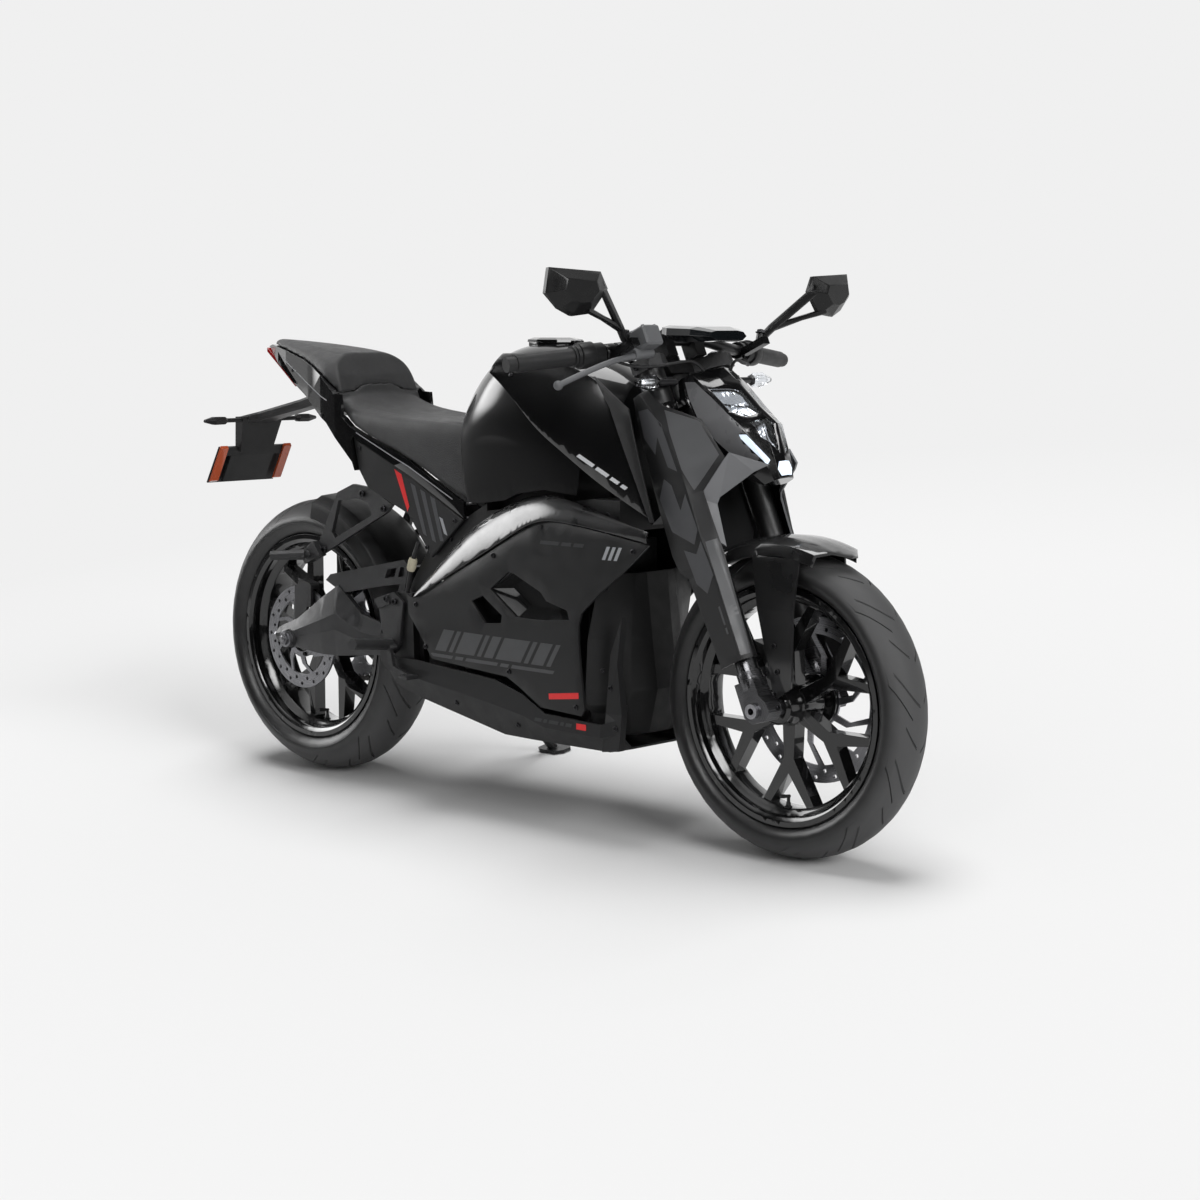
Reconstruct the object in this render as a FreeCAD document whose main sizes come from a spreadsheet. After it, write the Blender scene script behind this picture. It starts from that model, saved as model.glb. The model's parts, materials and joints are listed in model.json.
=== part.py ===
"""Electric sport bike, modelled upright in millimetres and then leaned on its side stand.

Design frame: X forward, Y to the rider's left, Z up, origin on the ground midway between the axles.
Fork frame: origin at the front axle, X ahead of the fork legs, Y left, Z up along the legs.
"""
import FreeCAD
import Part
import math
import os
from FreeCAD import Placement, Rotation, Vector

os.makedirs("parts", exist_ok=True)
doc = FreeCAD.newDocument("sport_bike")

# Driving sizes, in millimetres and degrees
SIZES = (
    ("wheelbase", 1340.0),
    ("rake", 24.0),
    ("fork_offset", 32.0),
    ("lean", 10.0),
    ("front_tyre_radius", 293.0),
    ("front_tyre_width", 110.0),
    ("front_crown_drop", 36.0),
    ("rear_tyre_radius", 306.0),
    ("rear_tyre_width", 150.0),
    ("rear_crown_drop", 44.0),
    ("tyre_wall", 9.0),
    ("bead_seat_radius", 216.0),
    ("lip_height", 12.0),
    ("front_rim_half", 45.0),
    ("rear_rim_half", 62.0),
    ("rim_well_depth", 13.0),
    ("rim_wall", 7.0),
    ("spoke_count", 6.0),
    ("spoke_depth", 30.0),
    ("fit_gap", 0.3),
    ("shaft_gap", 0.05),
    ("front_axle_radius", 10.0),
    ("front_axle_bore", 6.5),
    ("rear_axle_radius", 9.0),
    ("front_hub_half", 58.0),
    ("rear_hub_half", 66.0),
    ("front_disc_radius", 160.0),
    ("front_disc_offset", 70.5),
    ("rear_disc_radius", 115.0),
    ("rear_disc_offset", 84.0),
    ("disc_thickness", 5.0),
    ("leg_offset", 98.0),
    ("slider_radius", 20.5),
    ("lug_inner", 83.0),
    ("lug_outer", 121.0),
    ("outer_tube_radius", 25.0),
    ("outer_tube_low", 98.0),
    ("outer_tube_top", 704.0),
    ("lower_yoke_height", 548.0),
    ("upper_yoke_height", 690.0),
    ("yoke_thickness", 26.0),
    ("stem_radius", 17.5),
    ("head_tube_radius", 30.0),
    ("bar_radius", 11.0),
    ("bar_height", 722.0),
    ("bar_half_width", 387.0),
    ("bar_sweep", 66.0),
    ("grip_length", 125.0),
    ("grip_radius", 16.5),
    ("battery_half_width", 99.7),
    ("motor_radius", 84.0),
    ("motor_half_width", 74.0),
    ("motor_axis_ahead", 445.0),
    ("motor_axis_height", 330.0),
    ("pivot_ahead", 352.0),
    ("pivot_height", 318.0),
    ("pivot_radius", 15.0),
    ("arm_inner", 97.0),
    ("arm_boss_outer", 123.0),
    ("chain_line", 86.0),
    ("chain_pitch", 15.875),
    ("drive_teeth", 16.0),
    ("driven_teeth", 42.0),
    ("panel_wall", 5.0),
    ("stand_leg_radius", 11.0),
    ("stand_pin_radius", 7.0),
)
sheet = doc.addObject("Spreadsheet::Sheet", "sizes")
for row, (alias, value) in enumerate(SIZES, 1):
    sheet.set(f"A{row}", alias)
    sheet.set(f"B{row}", str(value))
    sheet.setAlias(f"B{row}", alias)
doc.recompute()


def size(alias):
    return float(sheet.get(alias))


RAKE = math.radians(size("rake"))
LEAN = math.radians(size("lean"))
AXLE_F = Vector(size("wheelbase") / 2, 0, size("front_tyre_radius"))
AXLE_R = Vector(-size("wheelbase") / 2, 0, size("rear_tyre_radius"))
FORK = Placement(AXLE_F, Rotation(Vector(0, 1, 0), -size("rake")))
STRAIGHT = Placement()
FRONT_WHEEL = Placement(AXLE_F, Rotation())
REAR_WHEEL = Placement(AXLE_R, Rotation())
LEANED = Placement(Vector(), Rotation(Vector(1, 0, 0), -size("lean")))
GAP = size("fit_gap")
WALL = size("panel_wall")
pieces = []


# Shape helpers

def polygon(points):
    corners = [Vector(*p) for p in points]
    return Part.makePolygon(corners + corners[:1])


def side_prism(outline, low, high):
    """A plate whose (x, z) outline runs from y = low to y = high."""
    face = Part.Face(polygon([(x, low, z) for x, z in outline]))
    return face.extrude(Vector(0, high - low, 0))


def front_prism(outline, back, front):
    """A block whose (y, z) outline runs from x = back to x = front."""
    face = Part.Face(polygon([(back, y, z) for y, z in outline]))
    return face.extrude(Vector(front - back, 0, 0))


def plan_prism(outline, low, high):
    face = Part.Face(polygon([(x, y, low) for x, y in outline]))
    return face.extrude(Vector(0, 0, high - low))


def loft(wires, ruled=True):
    made = Part.makeLoft(wires, True, ruled)
    if made.Volume < 0:
        made.reverse()
    return made


def mirrored(shape):
    return shape.mirror(Vector(), Vector(0, 1, 0))


def both_sides(shape):
    return Part.makeCompound([shape, mirrored(shape)])


def fused(*shapes):
    return shapes[0].multiFuse(list(shapes[1:])).removeSplitter()


def rod(start, end, radius):
    start = Vector(*start)
    along = Vector(*end) - start
    return Part.makeCylinder(radius, along.Length, start, along)


def pipe(points, radius):
    """A round tube along straight runs joined by arcs, each as wide as its runs allow."""
    points = [Vector(*p) for p in points]
    edges = []
    start = points[0]
    for before, corner, after in zip(points, points[1:], points[2:]):
        back = before - corner
        ahead = after - corner
        cut = 0.45 * min(back.Length, ahead.Length)
        back.normalize()
        ahead.normalize()
        first = corner + back * cut
        last = corner + ahead * cut
        half_turn = (math.pi - back.getAngle(ahead)) / 2
        arc_radius = cut / math.tan(half_turn)
        inward = (back + ahead).normalize()
        centre = corner + inward * (arc_radius / math.cos(half_turn))
        middle = centre - inward * arc_radius
        edges.append(Part.LineSegment(start, first).toShape())
        edges.append(Part.Arc(first, middle, last).toShape())
        start = last
    edges.append(Part.LineSegment(start, points[-1]).toShape())
    path = Part.Wire(edges)
    profile = Part.Wire([Part.Circle(points[0], points[1] - points[0], radius).toShape()])
    return path.makePipeShell([profile], True, False)


def smooth_surface(rows):
    """A cubic surface steered by a grid of points, so it never swings beyond them."""
    def knots(count):
        degree = min(3, count - 1)
        inner = count - degree - 1
        return degree, [degree + 1] + [1] * inner + [degree + 1], [float(i) for i in range(inner + 2)]

    u_degree, u_mults, u_knots = knots(len(rows))
    v_degree, v_mults, v_knots = knots(len(rows[0]))
    made = Part.BSplineSurface()
    made.buildFromPolesMultsKnots(rows, u_mults, v_mults, u_knots, v_knots, False, False, u_degree, v_degree)
    return made


def edges_of(surface):
    """The surface's first row, last row, first column and last column, as edges."""
    u0, u1, v0, v1 = surface.bounds()
    return [surface.uIso(u0).toShape(), surface.uIso(u1).toShape(),
            surface.vIso(v0).toShape(), surface.vIso(v1).toShape()]


def closed(faces):
    shell = Part.makeShell(faces)
    shell.sewShape()
    made = Part.Solid(Part.Shell(shell.Faces) if shell.ShapeType != "Shell" else shell)
    if made.Volume < 0:
        made.reverse()
    return made


def cushion(stations):
    """A rounded block: half sections (y, z) at each x, mirrored, with a flat underside."""
    rows = []
    for x, half in stations:
        right = [Vector(x, y, z) for y, z in half]
        left = [Vector(x, -y, z) for y, z in reversed(half) if y > 0]
        rows.append(left + right)
    top = smooth_surface(rows)
    rear, front, left, right = edges_of(top)
    faces = [top.toShape(), Part.makeRuledSurface(left, right)]
    for end, row in ((rear, rows[0]), (front, rows[-1])):
        faces.append(Part.Face(Part.Wire([end, Part.makeLine(row[-1], row[0])])))
    return closed(faces)


def curved_panel(stations, wall, inward):
    """A curved sheet: outer points (y, z) at each x, and a wall that lies inward of them."""
    outer_rows, inner_rows = [], []
    for x, outer in stations:
        outer_rows.append([Vector(x, y, z) for y, z in outer])
        inner_rows.append([Vector(x, y + inward[0] * wall, z + inward[1] * wall) for y, z in outer])
    outer, inner = smooth_surface(outer_rows), smooth_surface(inner_rows)
    faces = [outer.toShape(), inner.toShape()]
    for one, other in zip(edges_of(outer), edges_of(inner)):
        faces.append(Part.makeRuledSurface(one, other))
    return closed(faces)


def beam(stations, hint=(0, 0, 1)):
    """A bar of eight-sided section through stations of (point, width, height)."""
    places = [Vector(*point) for point, _, _ in stations]
    wires = []
    for i, (_, width, height) in enumerate(stations):
        along = places[min(i + 1, len(places) - 1)] - places[max(i - 1, 0)]
        side = along.cross(Vector(*hint)).normalize()
        up = side.cross(along).normalize()
        bevel = 0.28 * min(width, height)
        w, t = width / 2, height / 2
        ring = [(w, t - bevel), (w - bevel, t), (bevel - w, t), (-w, t - bevel),
                (-w, bevel - t), (bevel - w, -t), (w - bevel, -t), (w, bevel - t)]
        corners = [places[i] + side * a + up * b for a, b in ring]
        wires.append(Part.makePolygon(corners + corners[:1]))
    return loft(wires)


def folded_plate(facets, through):
    """Flat facets that share edges, thickened along one vector into a single solid."""
    made = [Part.Face(polygon(facet)).extrude(Vector(*through)) for facet in facets]
    return fused(*made)


# Object helpers

def keep(made, label, frame=STRAIGHT):
    """Adds an object of the document to the list of pieces that are written."""
    made.Label = label
    pieces.append((made, frame))
    return made


def feature(label, shape, frame=STRAIGHT):
    made = doc.addObject("Part::Feature", label)
    made.Shape = shape
    return keep(made, label, frame)


def body(label, frame):
    made = doc.addObject("PartDesign::Body", label)
    return keep(made, label, frame)


def sketch(owner, role, name):
    drawn = owner.newObject("Sketcher::SketchObject", name)
    base = next(f for f in owner.Origin.OriginFeatures if f.Role == role)
    drawn.AttachmentSupport = [(base, "")]
    drawn.MapMode = "FlatFace"
    return drawn


def draw_outline(drawn, corners, arcs=None):
    """Draws a closed outline. arcs gives, by the index of a side, the point that its arc passes."""
    arcs = arcs or {}
    corners = [Vector(x, y, 0) for x, y in corners]
    for i, corner in enumerate(corners):
        after = corners[(i + 1) % len(corners)]
        if i in arcs:
            middle = Vector(*arcs[i], 0)
            drawn.addGeometry(Part.Arc(corner, middle, after), False)
        else:
            drawn.addGeometry(Part.LineSegment(corner, after), False)


def pad(owner, drawn, name, length_of):
    made = owner.newObject("PartDesign::Pad", name)
    made.Profile = drawn
    made.Midplane = True
    made.setExpression("Length", length_of)
    return made


def revolve(owner, drawn, name, axis="H_Axis"):
    made = owner.newObject("PartDesign::Revolution", name)
    made.Profile = drawn
    made.ReferenceAxis = (drawn, [axis])
    made.Angle = 360
    return made


def around_axle(owner, originals, name, count_of):
    made = owner.newObject("PartDesign::PolarPattern", name)
    made.Originals = originals
    axis = next(f for f in owner.Origin.OriginFeatures if f.Role == "Y_Axis")
    made.Axis = (axis, [""])
    made.Angle = 360
    made.setExpression("Occurrences", count_of)
    owner.Tip = made
    return made


# Wheels

def tyre(label, frame, radius_of, width_of, drop_of, rim_half_of):
    """A hollow carcass: round crown, bulging side walls and beads that sit on the rim."""
    owner = body(label, frame)
    drawn = sketch(owner, "YZ_Plane", f"{label}_section")
    radius, half, drop = size(radius_of), size(width_of) / 2, size(drop_of)
    wall = size("tyre_wall")
    seat = size("bead_seat_radius") + GAP
    bead = size(rim_half_of) - size("rim_wall") - GAP
    shoulder = radius - drop
    lip = seat + size("lip_height") + 1
    corners = [
        (-half + 1, shoulder), (half - 1, shoulder), (bead, lip), (bead, seat),
        (bead - 1.3 * wall, seat), (bead - 0.6 * wall, lip + 6), (half - wall, shoulder - 8),
        (half - wall - 4, shoulder + 4), (0, radius - wall), (-half + wall + 4, shoulder + 4),
        (-half + wall, shoulder - 8), (-bead + 0.6 * wall, lip + 6), (-bead + 1.3 * wall, seat),
        (-bead, seat), (-bead, lip),
    ]
    draw_outline(drawn, corners, {
        0: (0, radius),
        1: ((half + bead) / 2 + 6, (shoulder + lip) / 2 - 2),
        14: (-(half + bead) / 2 - 6, (shoulder + lip) / 2 - 2),
    })
    revolve(owner, drawn, f"{label}_revolution")


def spoke_outline(root, fork, tip, spread):
    """A Y: a stem from the hub that splits into two arms, symmetric about the sketch's Y axis."""
    angle = math.radians(spread)
    end = Vector(tip * math.sin(angle), tip * math.cos(angle), 0)
    along = (end - Vector(0, fork, 0)).normalize()
    side = Vector(along.y, -along.x, 0)
    outer = end + side * 8
    inner = end - side * 8
    right = [(15, root), (12, fork - 10), (outer.x, outer.y), (inner.x, inner.y)]
    left = [(-x, y) for x, y in reversed(right)]
    return right + [(0, fork + 19)] + left


def rim(label, frame, half_of, hub_half_of, axle_of, hub_radius, carriers):
    """Barrel, hub and Y spokes, turned and patterned about the axle."""
    owner = body(label, frame)
    half, hub_half = size(half_of), size(hub_half_of)
    seat, lip, wall = size("bead_seat_radius"), size("lip_height"), size("rim_wall")
    well = seat - size("rim_well_depth")
    drawn = sketch(owner, "YZ_Plane", f"{label}_barrel_section")
    right = [
        (half - wall + 1, seat + lip), (half, seat + lip), (half, seat + 2), (half - 5, seat - wall + 1),
        (half * 0.62, seat - wall), (half * 0.42, well - wall),
    ]
    top = [(half * 0.34, well), (half * 0.58, seat - 1), (half - wall, seat)]
    ring = right + [(-x, y) for x, y in reversed(right)]
    ring = ring + [(-x, y) for x, y in reversed(top)] + top
    draw_outline(drawn, ring)
    revolve(owner, drawn, f"{label}_barrel")
    hub = sketch(owner, "YZ_Plane", f"{label}_hub_section")
    bore = size(axle_of) + size("shaft_gap")
    profile = [(-hub_half, bore), (hub_half, bore)]
    for y, r in carriers:
        profile.append((y, r))
    draw_outline(hub, profile)
    revolve(owner, hub, f"{label}_hub")
    spoke = sketch(owner, "XZ_Plane", f"{label}_spoke_outline")
    draw_outline(spoke, spoke_outline(hub_radius - 4, 112, well - 1, 16))
    stem = pad(owner, spoke, f"{label}_spoke", "sizes.spoke_depth")
    around_axle(owner, [stem], f"{label}_spokes", "sizes.spoke_count")


def disc(label, frame, radius_of, offset, band, hub_radius, arms):
    """A brake disc: a band carried by curved arms on a ring that bolts to the hub."""
    outer = size(radius_of)
    thick = size("disc_thickness")
    low, high = offset - thick / 2, offset + thick / 2

    def ring(r_out, r_in, y0, y1):
        axis = Vector(0, 1, 0)
        return Part.makeCylinder(r_out, y1 - y0, Vector(0, y0, 0), axis).cut(
            Part.makeCylinder(r_in, y1 - y0, Vector(0, y0, 0), axis)
        )

    band_ring = ring(outer, outer - band, low, high)
    holes = []
    rows = ((outer - band * 0.3, 0.0), (outer - band * 0.68, 0.5))
    per_row = arms * 2
    for row_radius, shift in rows:
        for i in range(per_row):
            angle = 2 * math.pi * (i + shift) / per_row
            at = Vector(row_radius * math.cos(angle), low - 1, row_radius * math.sin(angle))
            holes.append(Part.makeCylinder(4.0, thick + 2, at, Vector(0, 1, 0)))
    band_ring = band_ring.cut(Part.makeCompound(holes))
    hub = ring(hub_radius + 12, hub_radius, low, high)
    made = [band_ring, hub]
    for i in range(arms):
        turn = 360.0 * i / arms
        reach = outer - band + 3
        sweep = math.radians(24)
        root = [(hub_radius + 6, -7), (hub_radius + 6, 7)]
        tip_angles = (sweep + 0.05, sweep - 0.05)
        tips = [(reach * math.cos(a), reach * math.sin(a)) for a in tip_angles]
        mid = (hub_radius + reach) / 2
        bends = [(mid * math.cos(sweep * 0.3) , mid * math.sin(sweep * 0.3) + s) for s in (7, -6)]
        outline = [root[0], root[1], bends[0], tips[0], tips[1], bends[1]]
        arm = side_prism(outline, low + 0.5, high - 0.5)
        arm.rotate(Vector(), Vector(0, 1, 0), turn)
        made.append(arm)
    feature(label, fused(*made), frame)


tyre("front_tyre", FRONT_WHEEL, "front_tyre_radius", "front_tyre_width", "front_crown_drop", "front_rim_half")
tyre("rear_tyre", REAR_WHEEL, "rear_tyre_radius", "rear_tyre_width", "rear_crown_drop", "rear_rim_half")
front_half = size("front_hub_half")
disc_face = size("front_disc_offset") - size("disc_thickness") / 2
boss_face = disc_face - GAP
rim("front_rim", FRONT_WHEEL, "front_rim_half", "front_hub_half", "front_axle_radius", 36, [
    (front_half, 20), (boss_face, 20), (boss_face, 52), (boss_face - 7, 52), (44, 38), (20, 40),
    (-20, 40), (-34, 36), (-front_half + 6, 34), (-front_half, 28),
])
rear_half = size("rear_hub_half")
half_turn_on = Placement(Vector(), Rotation(Vector(0, 1, 0), 180 / size("spoke_count")))
boss_face = size("rear_disc_offset") - size("disc_thickness") / 2 - GAP
rim("rear_rim", REAR_WHEEL.multiply(half_turn_on), "rear_rim_half", "rear_hub_half", "rear_axle_radius", 46, [
    (rear_half, 40), (rear_half - 6, 62), (48, 62), (36, 46), (-36, 46), (-50, 44), (-boss_face, 44),
    (-boss_face, 19), (-rear_half, 19),
])
disc("front_disc", FRONT_WHEEL, "front_disc_radius", size("front_disc_offset"), 34, 42, 10)
disc("rear_disc", REAR_WHEEL, "rear_disc_radius", -size("rear_disc_offset"), 30, 34, 8)


def sprocket():
    """Driven sprocket: rounded gaps of the chain's pitch round a lightened plate."""
    teeth = int(size("driven_teeth"))
    pitch_radius = size("chain_pitch") / (2 * math.sin(math.pi / teeth))
    tip, root = pitch_radius + 4.5, pitch_radius - 5.0
    outline = []
    for i in range(teeth):
        for part, radius in ((0.12, tip), (0.38, root), (0.62, root), (0.88, tip)):
            angle = 2 * math.pi * (i + part) / teeth
            outline.append((radius * math.cos(angle), radius * math.sin(angle)))
    line = size("chain_line")
    plate = side_prism(outline, line - 3, line + 3)
    holes = [rod((0, line - 5, 0), (0, line + 5, 0), 34)]
    for i in range(6):
        angle = math.pi / 3 * i
        at = (70 * math.cos(angle), 70 * math.sin(angle))
        holes.append(rod((at[0], line - 5, at[1]), (at[0], line + 5, at[1]), 18))
    plate = plate.cut(Part.makeCompound(holes))
    carrier = rod((0, size("rear_hub_half") + GAP, 0), (0, line - 3, 0), 46)
    carrier = carrier.cut(rod((0, 0, 0), (0, line + 9, 0), 34))
    return fused(plate, carrier)


feature("rear_sprocket", sprocket(), REAR_WHEEL)


def front_axle():
    """Hollow spindle with a spacer each side of the hub and a head at each end."""
    radius = size("front_axle_radius")
    inner = size("lug_inner")
    head = size("lug_outer") + GAP
    end = head + 7
    made = [rod((0, -end, 0), (0, end, 0), radius)]
    for side in (-1, 1):
        made.append(rod((0, side * (front_half + GAP), 0), (0, side * (inner - GAP), 0), 16))
        made.append(rod((0, side * head, 0), (0, side * end, 0), 14))
    return fused(*made).cut(rod((0, -end - 9, 0), (0, end + 9, 0), size("front_axle_bore")))


def rear_axle():
    radius = size("rear_axle_radius")
    boss = size("arm_boss_outer") + GAP
    end = boss + 13
    made = [rod((0, -end, 0), (0, end, 0), radius)]
    for side in (-1, 1):
        made.append(rod((0, side * (rear_half + GAP), 0), (0, side * (size("arm_inner") - GAP), 0), 14))
        made.append(rod((0, side * boss, 0), (0, side * (boss + 9), 0), 15))
    return fused(*made)


feature("front_axle", front_axle(), FRONT_WHEEL)
feature("rear_axle", rear_axle(), REAR_WHEEL)


# Front end, in the fork frame

LEG = size("leg_offset")
STEM_N = -size("fork_offset")


def fork_sliders():
    """Chromed inner tubes with the cast axle lugs at their feet."""
    radius = size("slider_radius")
    tube = rod((0, LEG, 26), (0, LEG, 330), radius)
    lug = side_prism(
        [(-24, 58), (-25, -6), (-12, -22), (20, -26), (36, -14), (34, 6), (24, 22), (23, 58)],
        size("lug_inner"), size("lug_outer"),
    )
    collar = rod((0, LEG, 40), (0, LEG, 74), radius + 3.5)
    leg = fused(tube, lug, collar)
    bore = rod((0, LEG - 40, 0), (0, LEG + 40, 0), size("front_axle_radius") + size("shaft_gap"))
    return both_sides(leg.cut(bore))


def fork_outer_tubes():
    """Outer tubes of the fork, bored for the sliders, with their caps."""
    radius = size("outer_tube_radius")
    low, top = size("outer_tube_low"), size("outer_tube_top")
    tube = fused(
        rod((0, LEG, low), (0, LEG, top), radius),
        rod((0, LEG, top), (0, LEG, top + 6), radius - 5),
    )
    return both_sides(tube.cut(rod((0, LEG, low - 1), (0, LEG, 336), size("slider_radius") + GAP)))


def yokes():
    """Upper and lower yokes on the steering stem, clamped round the fork legs."""
    half = size("yoke_thickness") / 2
    made = [rod((STEM_N, 0, size("lower_yoke_height") - half), (STEM_N, 0, size("upper_yoke_height") + 26),
                size("stem_radius"))]
    for height in (size("lower_yoke_height"), size("upper_yoke_height")):
        web = [(STEM_N + 26, -34), (24, -LEG + 24), (34, -LEG), (22, -LEG - 26.4),
               (-24, -LEG - 26.4), (-32, -LEG), (STEM_N - 26, -34)]
        web = web + [(x, -y) for x, y in reversed(web)]
        plate = plan_prism(web, height - half, height + half)
        for side in (-1, 1):
            reach = size("outer_tube_radius") + 0.1
            plate = plate.cut(rod((0, side * LEG, height - 40), (0, side * LEG, height + 40), reach))
        made.append(plate)
    made.append(rod((STEM_N, 0, size("upper_yoke_height") + half), (STEM_N, 0, size("upper_yoke_height") + half + 12), 22))
    return fused(*made)


def handlebar():
    """Tapered bar on two risers."""
    top = size("bar_height") + 18
    end = size("bar_half_width")
    bend = along_bar_point(130)
    left = pipe([(4, 0, top), (4, 75, top), bend, along_bar_point(end - 4)], size("bar_radius"))
    clamps = []
    for side in (-1, 1):
        base = size("upper_yoke_height") + size("yoke_thickness") / 2
        clamps.append(Part.makeBox(34, 26, top + 15 - base, Vector(-14, side * 42 - 13, base)))
    return fused(left, mirrored(left), *clamps)


def along_bar_point(y):
    """A point of the straight, swept part of the bar at a distance out from the middle."""
    inner = Vector(-10, 195, size("bar_height"))
    outer = Vector(-size("bar_sweep"), size("bar_half_width") - 4, size("bar_height") + 4)
    return inner + (outer - inner) * ((y - inner.y) / (outer.y - inner.y))


def along_bar(start, end, radius):
    """A sleeve round the swept end of the bar, from one distance out to another."""
    first = along_bar_point(start)
    last = along_bar_point(end)
    return Part.makeCylinder(radius, (last - first).Length, first, last - first)


def grips():
    end = size("bar_half_width")
    bore = along_bar(190, end - 3.9, size("bar_radius") + 0.1)
    grip = along_bar(end - size("grip_length"), end - 4, size("grip_radius"))
    flange = along_bar(end - size("grip_length"), end - size("grip_length") + 5, size("grip_radius") + 4)
    weight = along_bar(end - 4, end + 14, size("grip_radius") - 2.5)
    return both_sides(fused(grip, flange, weight).cut(bore))


def switch_housings():
    end = size("bar_half_width") - size("grip_length")
    bore = along_bar(150, end + 20, size("bar_radius") + 0.1)
    pod = fused(along_bar(204, end - 1, 21), along_bar(226, end - 8, 25))
    return both_sides(pod.cut(bore))


def brake_master():
    """Master cylinder with its square reservoir and the lever that it carries, on the right."""
    reservoir = Part.makeBox(44, 46, 40, Vector(30, -168, 704))
    reservoir = reservoir.makeChamfer(4, reservoir.Edges)
    barrel = rod((36, -178, 698), (36, -126, 702), 11)
    clamp = mirrored(along_bar(158, 174, 17))
    neck = Part.makeBox(34, 16, 20, Vector(6, -174, 696))
    bore = mirrored(along_bar(140, 230, size("bar_radius") + 0.1))
    clamp, neck = clamp.cut(bore), neck.cut(bore)
    blade = pipe([(38, -172, 695), (34, -232, 688), (4, -290, 676), (-22, -336, 664)], 5.5)
    tip = Part.makeSphere(9, Vector(-22, -336, 664))
    return fused(reservoir, barrel, clamp, neck, blade, tip)


MIRROR_AT = Vector(448, 367, 1060)
MIRROR_OUTLINE = ((64, 42), (72, -3), (42, -30), (11, -43), (-35, -38), (-74, 6), (-57, 36))
MIRROR_CREST = ((37, 22), (42, 2), (25, -14), (7, -20), (-17, -18), (-37, 2), (-30, 18))
MIRROR_TOE_IN = 5


def mirror_ring(points, depth, grow=1.0):
    return polygon([(depth, y * grow, z * grow) for y, z in points])


def mirror_pair(left, stem=None):
    """Turns a left mirror's shape to its toe-in, adds its stem and then the right one."""
    left = left.copy()
    left.Placement = Placement(MIRROR_AT, Rotation(Vector(0, 0, 1), MIRROR_TOE_IN))
    if stem:
        left = fused(left, stem)
    return both_sides(left)


def mirrors():
    """Faceted mirror shells on forked arms, one each side."""
    shell = loft([mirror_ring(MIRROR_OUTLINE, 0), mirror_ring(MIRROR_OUTLINE, 9, 1.02),
                  mirror_ring(MIRROR_CREST, 30)])
    pocket = loft([mirror_ring(MIRROR_OUTLINE, -9, 0.93), mirror_ring(MIRROR_OUTLINE, 4, 0.93)])
    foot = (-43, -164, -86)
    knee = (-33, -144, -66)
    outer = beam([(foot, 14, 14), (knee, 13, 16), ((12, -58, 8), 9, 18)], (0, 0, 1))
    inner = beam([(knee, 13, 14), ((-8, -76, -46), 9, 10), ((14, -22, -32), 9, 12)], (0, 0, 1))
    head = fused(shell, outer, inner).cut(pocket)
    return mirror_pair(head, mirror_stem())


def mirror_stem():
    """The stem below a mirror's arm and the clamp that holds it on the bar."""
    ring = along_bar(180, 200, 17)
    boss = Part.makeBox(62, 20, 15, Vector(2, 180, 706))
    boss = boss.fuse(ring).cut(along_bar(150, 230, size("bar_radius") + 0.1))
    boss.Placement = FORK.multiply(boss.Placement)
    return boss.fuse(rod((419, 193, 966), (419, 200, 990), 8))


def mirror_glass():
    return mirror_pair(loft([mirror_ring(MIRROR_OUTLINE, 0.6, 0.92), mirror_ring(MIRROR_OUTLINE, 3.7, 0.92)]))


def dash():
    """Instrument housing over the yokes, with two brackets to the bar's clamps."""
    height = size("bar_height")
    outline = [(-86, 0), (-78, 15), (-52, 20), (52, 20), (78, 15), (86, 0), (60, -14), (-60, -14)]
    rings = []
    for ahead, rise, grow in ((36, 18, 0.9), (52, 8, 1.0), (100, -14, 0.92), (128, -28, 0.6)):
        rings.append(polygon([(ahead, y * grow, height + rise + z * grow) for y, z in outline]))
    made = [loft(rings)]
    for side in (-1, 1):
        made.append(Part.makeBox(24, 18, 9, Vector(20 + GAP, side * 42 - 9, height + 16)))
    return fused(*made)


# Headlamp, in the fork frame: half outlines give (n, y) at each height
MASK = (
    (646, ((92, 0), (84, 30), (62, 62), (40, 66))),
    (605, ((116, 0), (108, 32), (86, 62), (46, 80))),
    (545, ((144, 0), (136, 30), (112, 60), (60, 84))),
    (500, ((171, 0), (160, 28), (132, 52), (78, 74))),
    (440, ((164, 0), (158, 24), (142, 38), (104, 50))),
    (396, ((156, 0), (152, 20), (144, 28), (124, 34))),
)


def mask_block(shrink=0.0):
    wires = []
    for height, half in MASK:
        back = half[-1][0] - 34 if height > 420 else 116
        right = [(x - shrink, max(y - shrink, 0), height) for x, y in half] + [(back, half[-1][1] - 8, height)]
        left = [(x, -y, z) for x, y, z in reversed(right[1:])]
        wires.append(polygon(right + left))
    return loft(wires)


UPPER_LENS = ((9, 584), (9, 530), (38, 527), (54, 548), (58, 604))
LOWER_LENS = ((7, 516), (40, 514), (34, 480), (9, 444))
SIDE_LAMP = ((58, 500), (51, 494), (29, 434), (34, 426))
CENTRE_LAMP = ((0, 428), (15, 428), (21, 414), (15, 401), (0, 401))


def lamp_prism(outline, inset=0.0):
    """A block along the fork frame's X axis, drawn by (y, height) and pulled in by inset."""
    middle = [sum(p[i] for p in outline) / len(outline) for i in (0, 1)]
    drawn = []
    for y, z in outline:
        dy, dz = y - middle[0], z - middle[1]
        reach = math.hypot(dy, dz)
        drawn.append((y - dy / reach * inset, z - dz / reach * inset))
    return front_prism(drawn, 60, 260)


def centre_prism(inset=0.0):
    half = [(max(y - inset, 0), z) for y, z in CENTRE_LAMP]
    ring = half + [(-y, z) for y, z in reversed(half) if y > 0]
    ring = [(y, z - inset if z > 414 else z + inset) for y, z in ring]
    return front_prism(ring, 60, 260)


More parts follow.
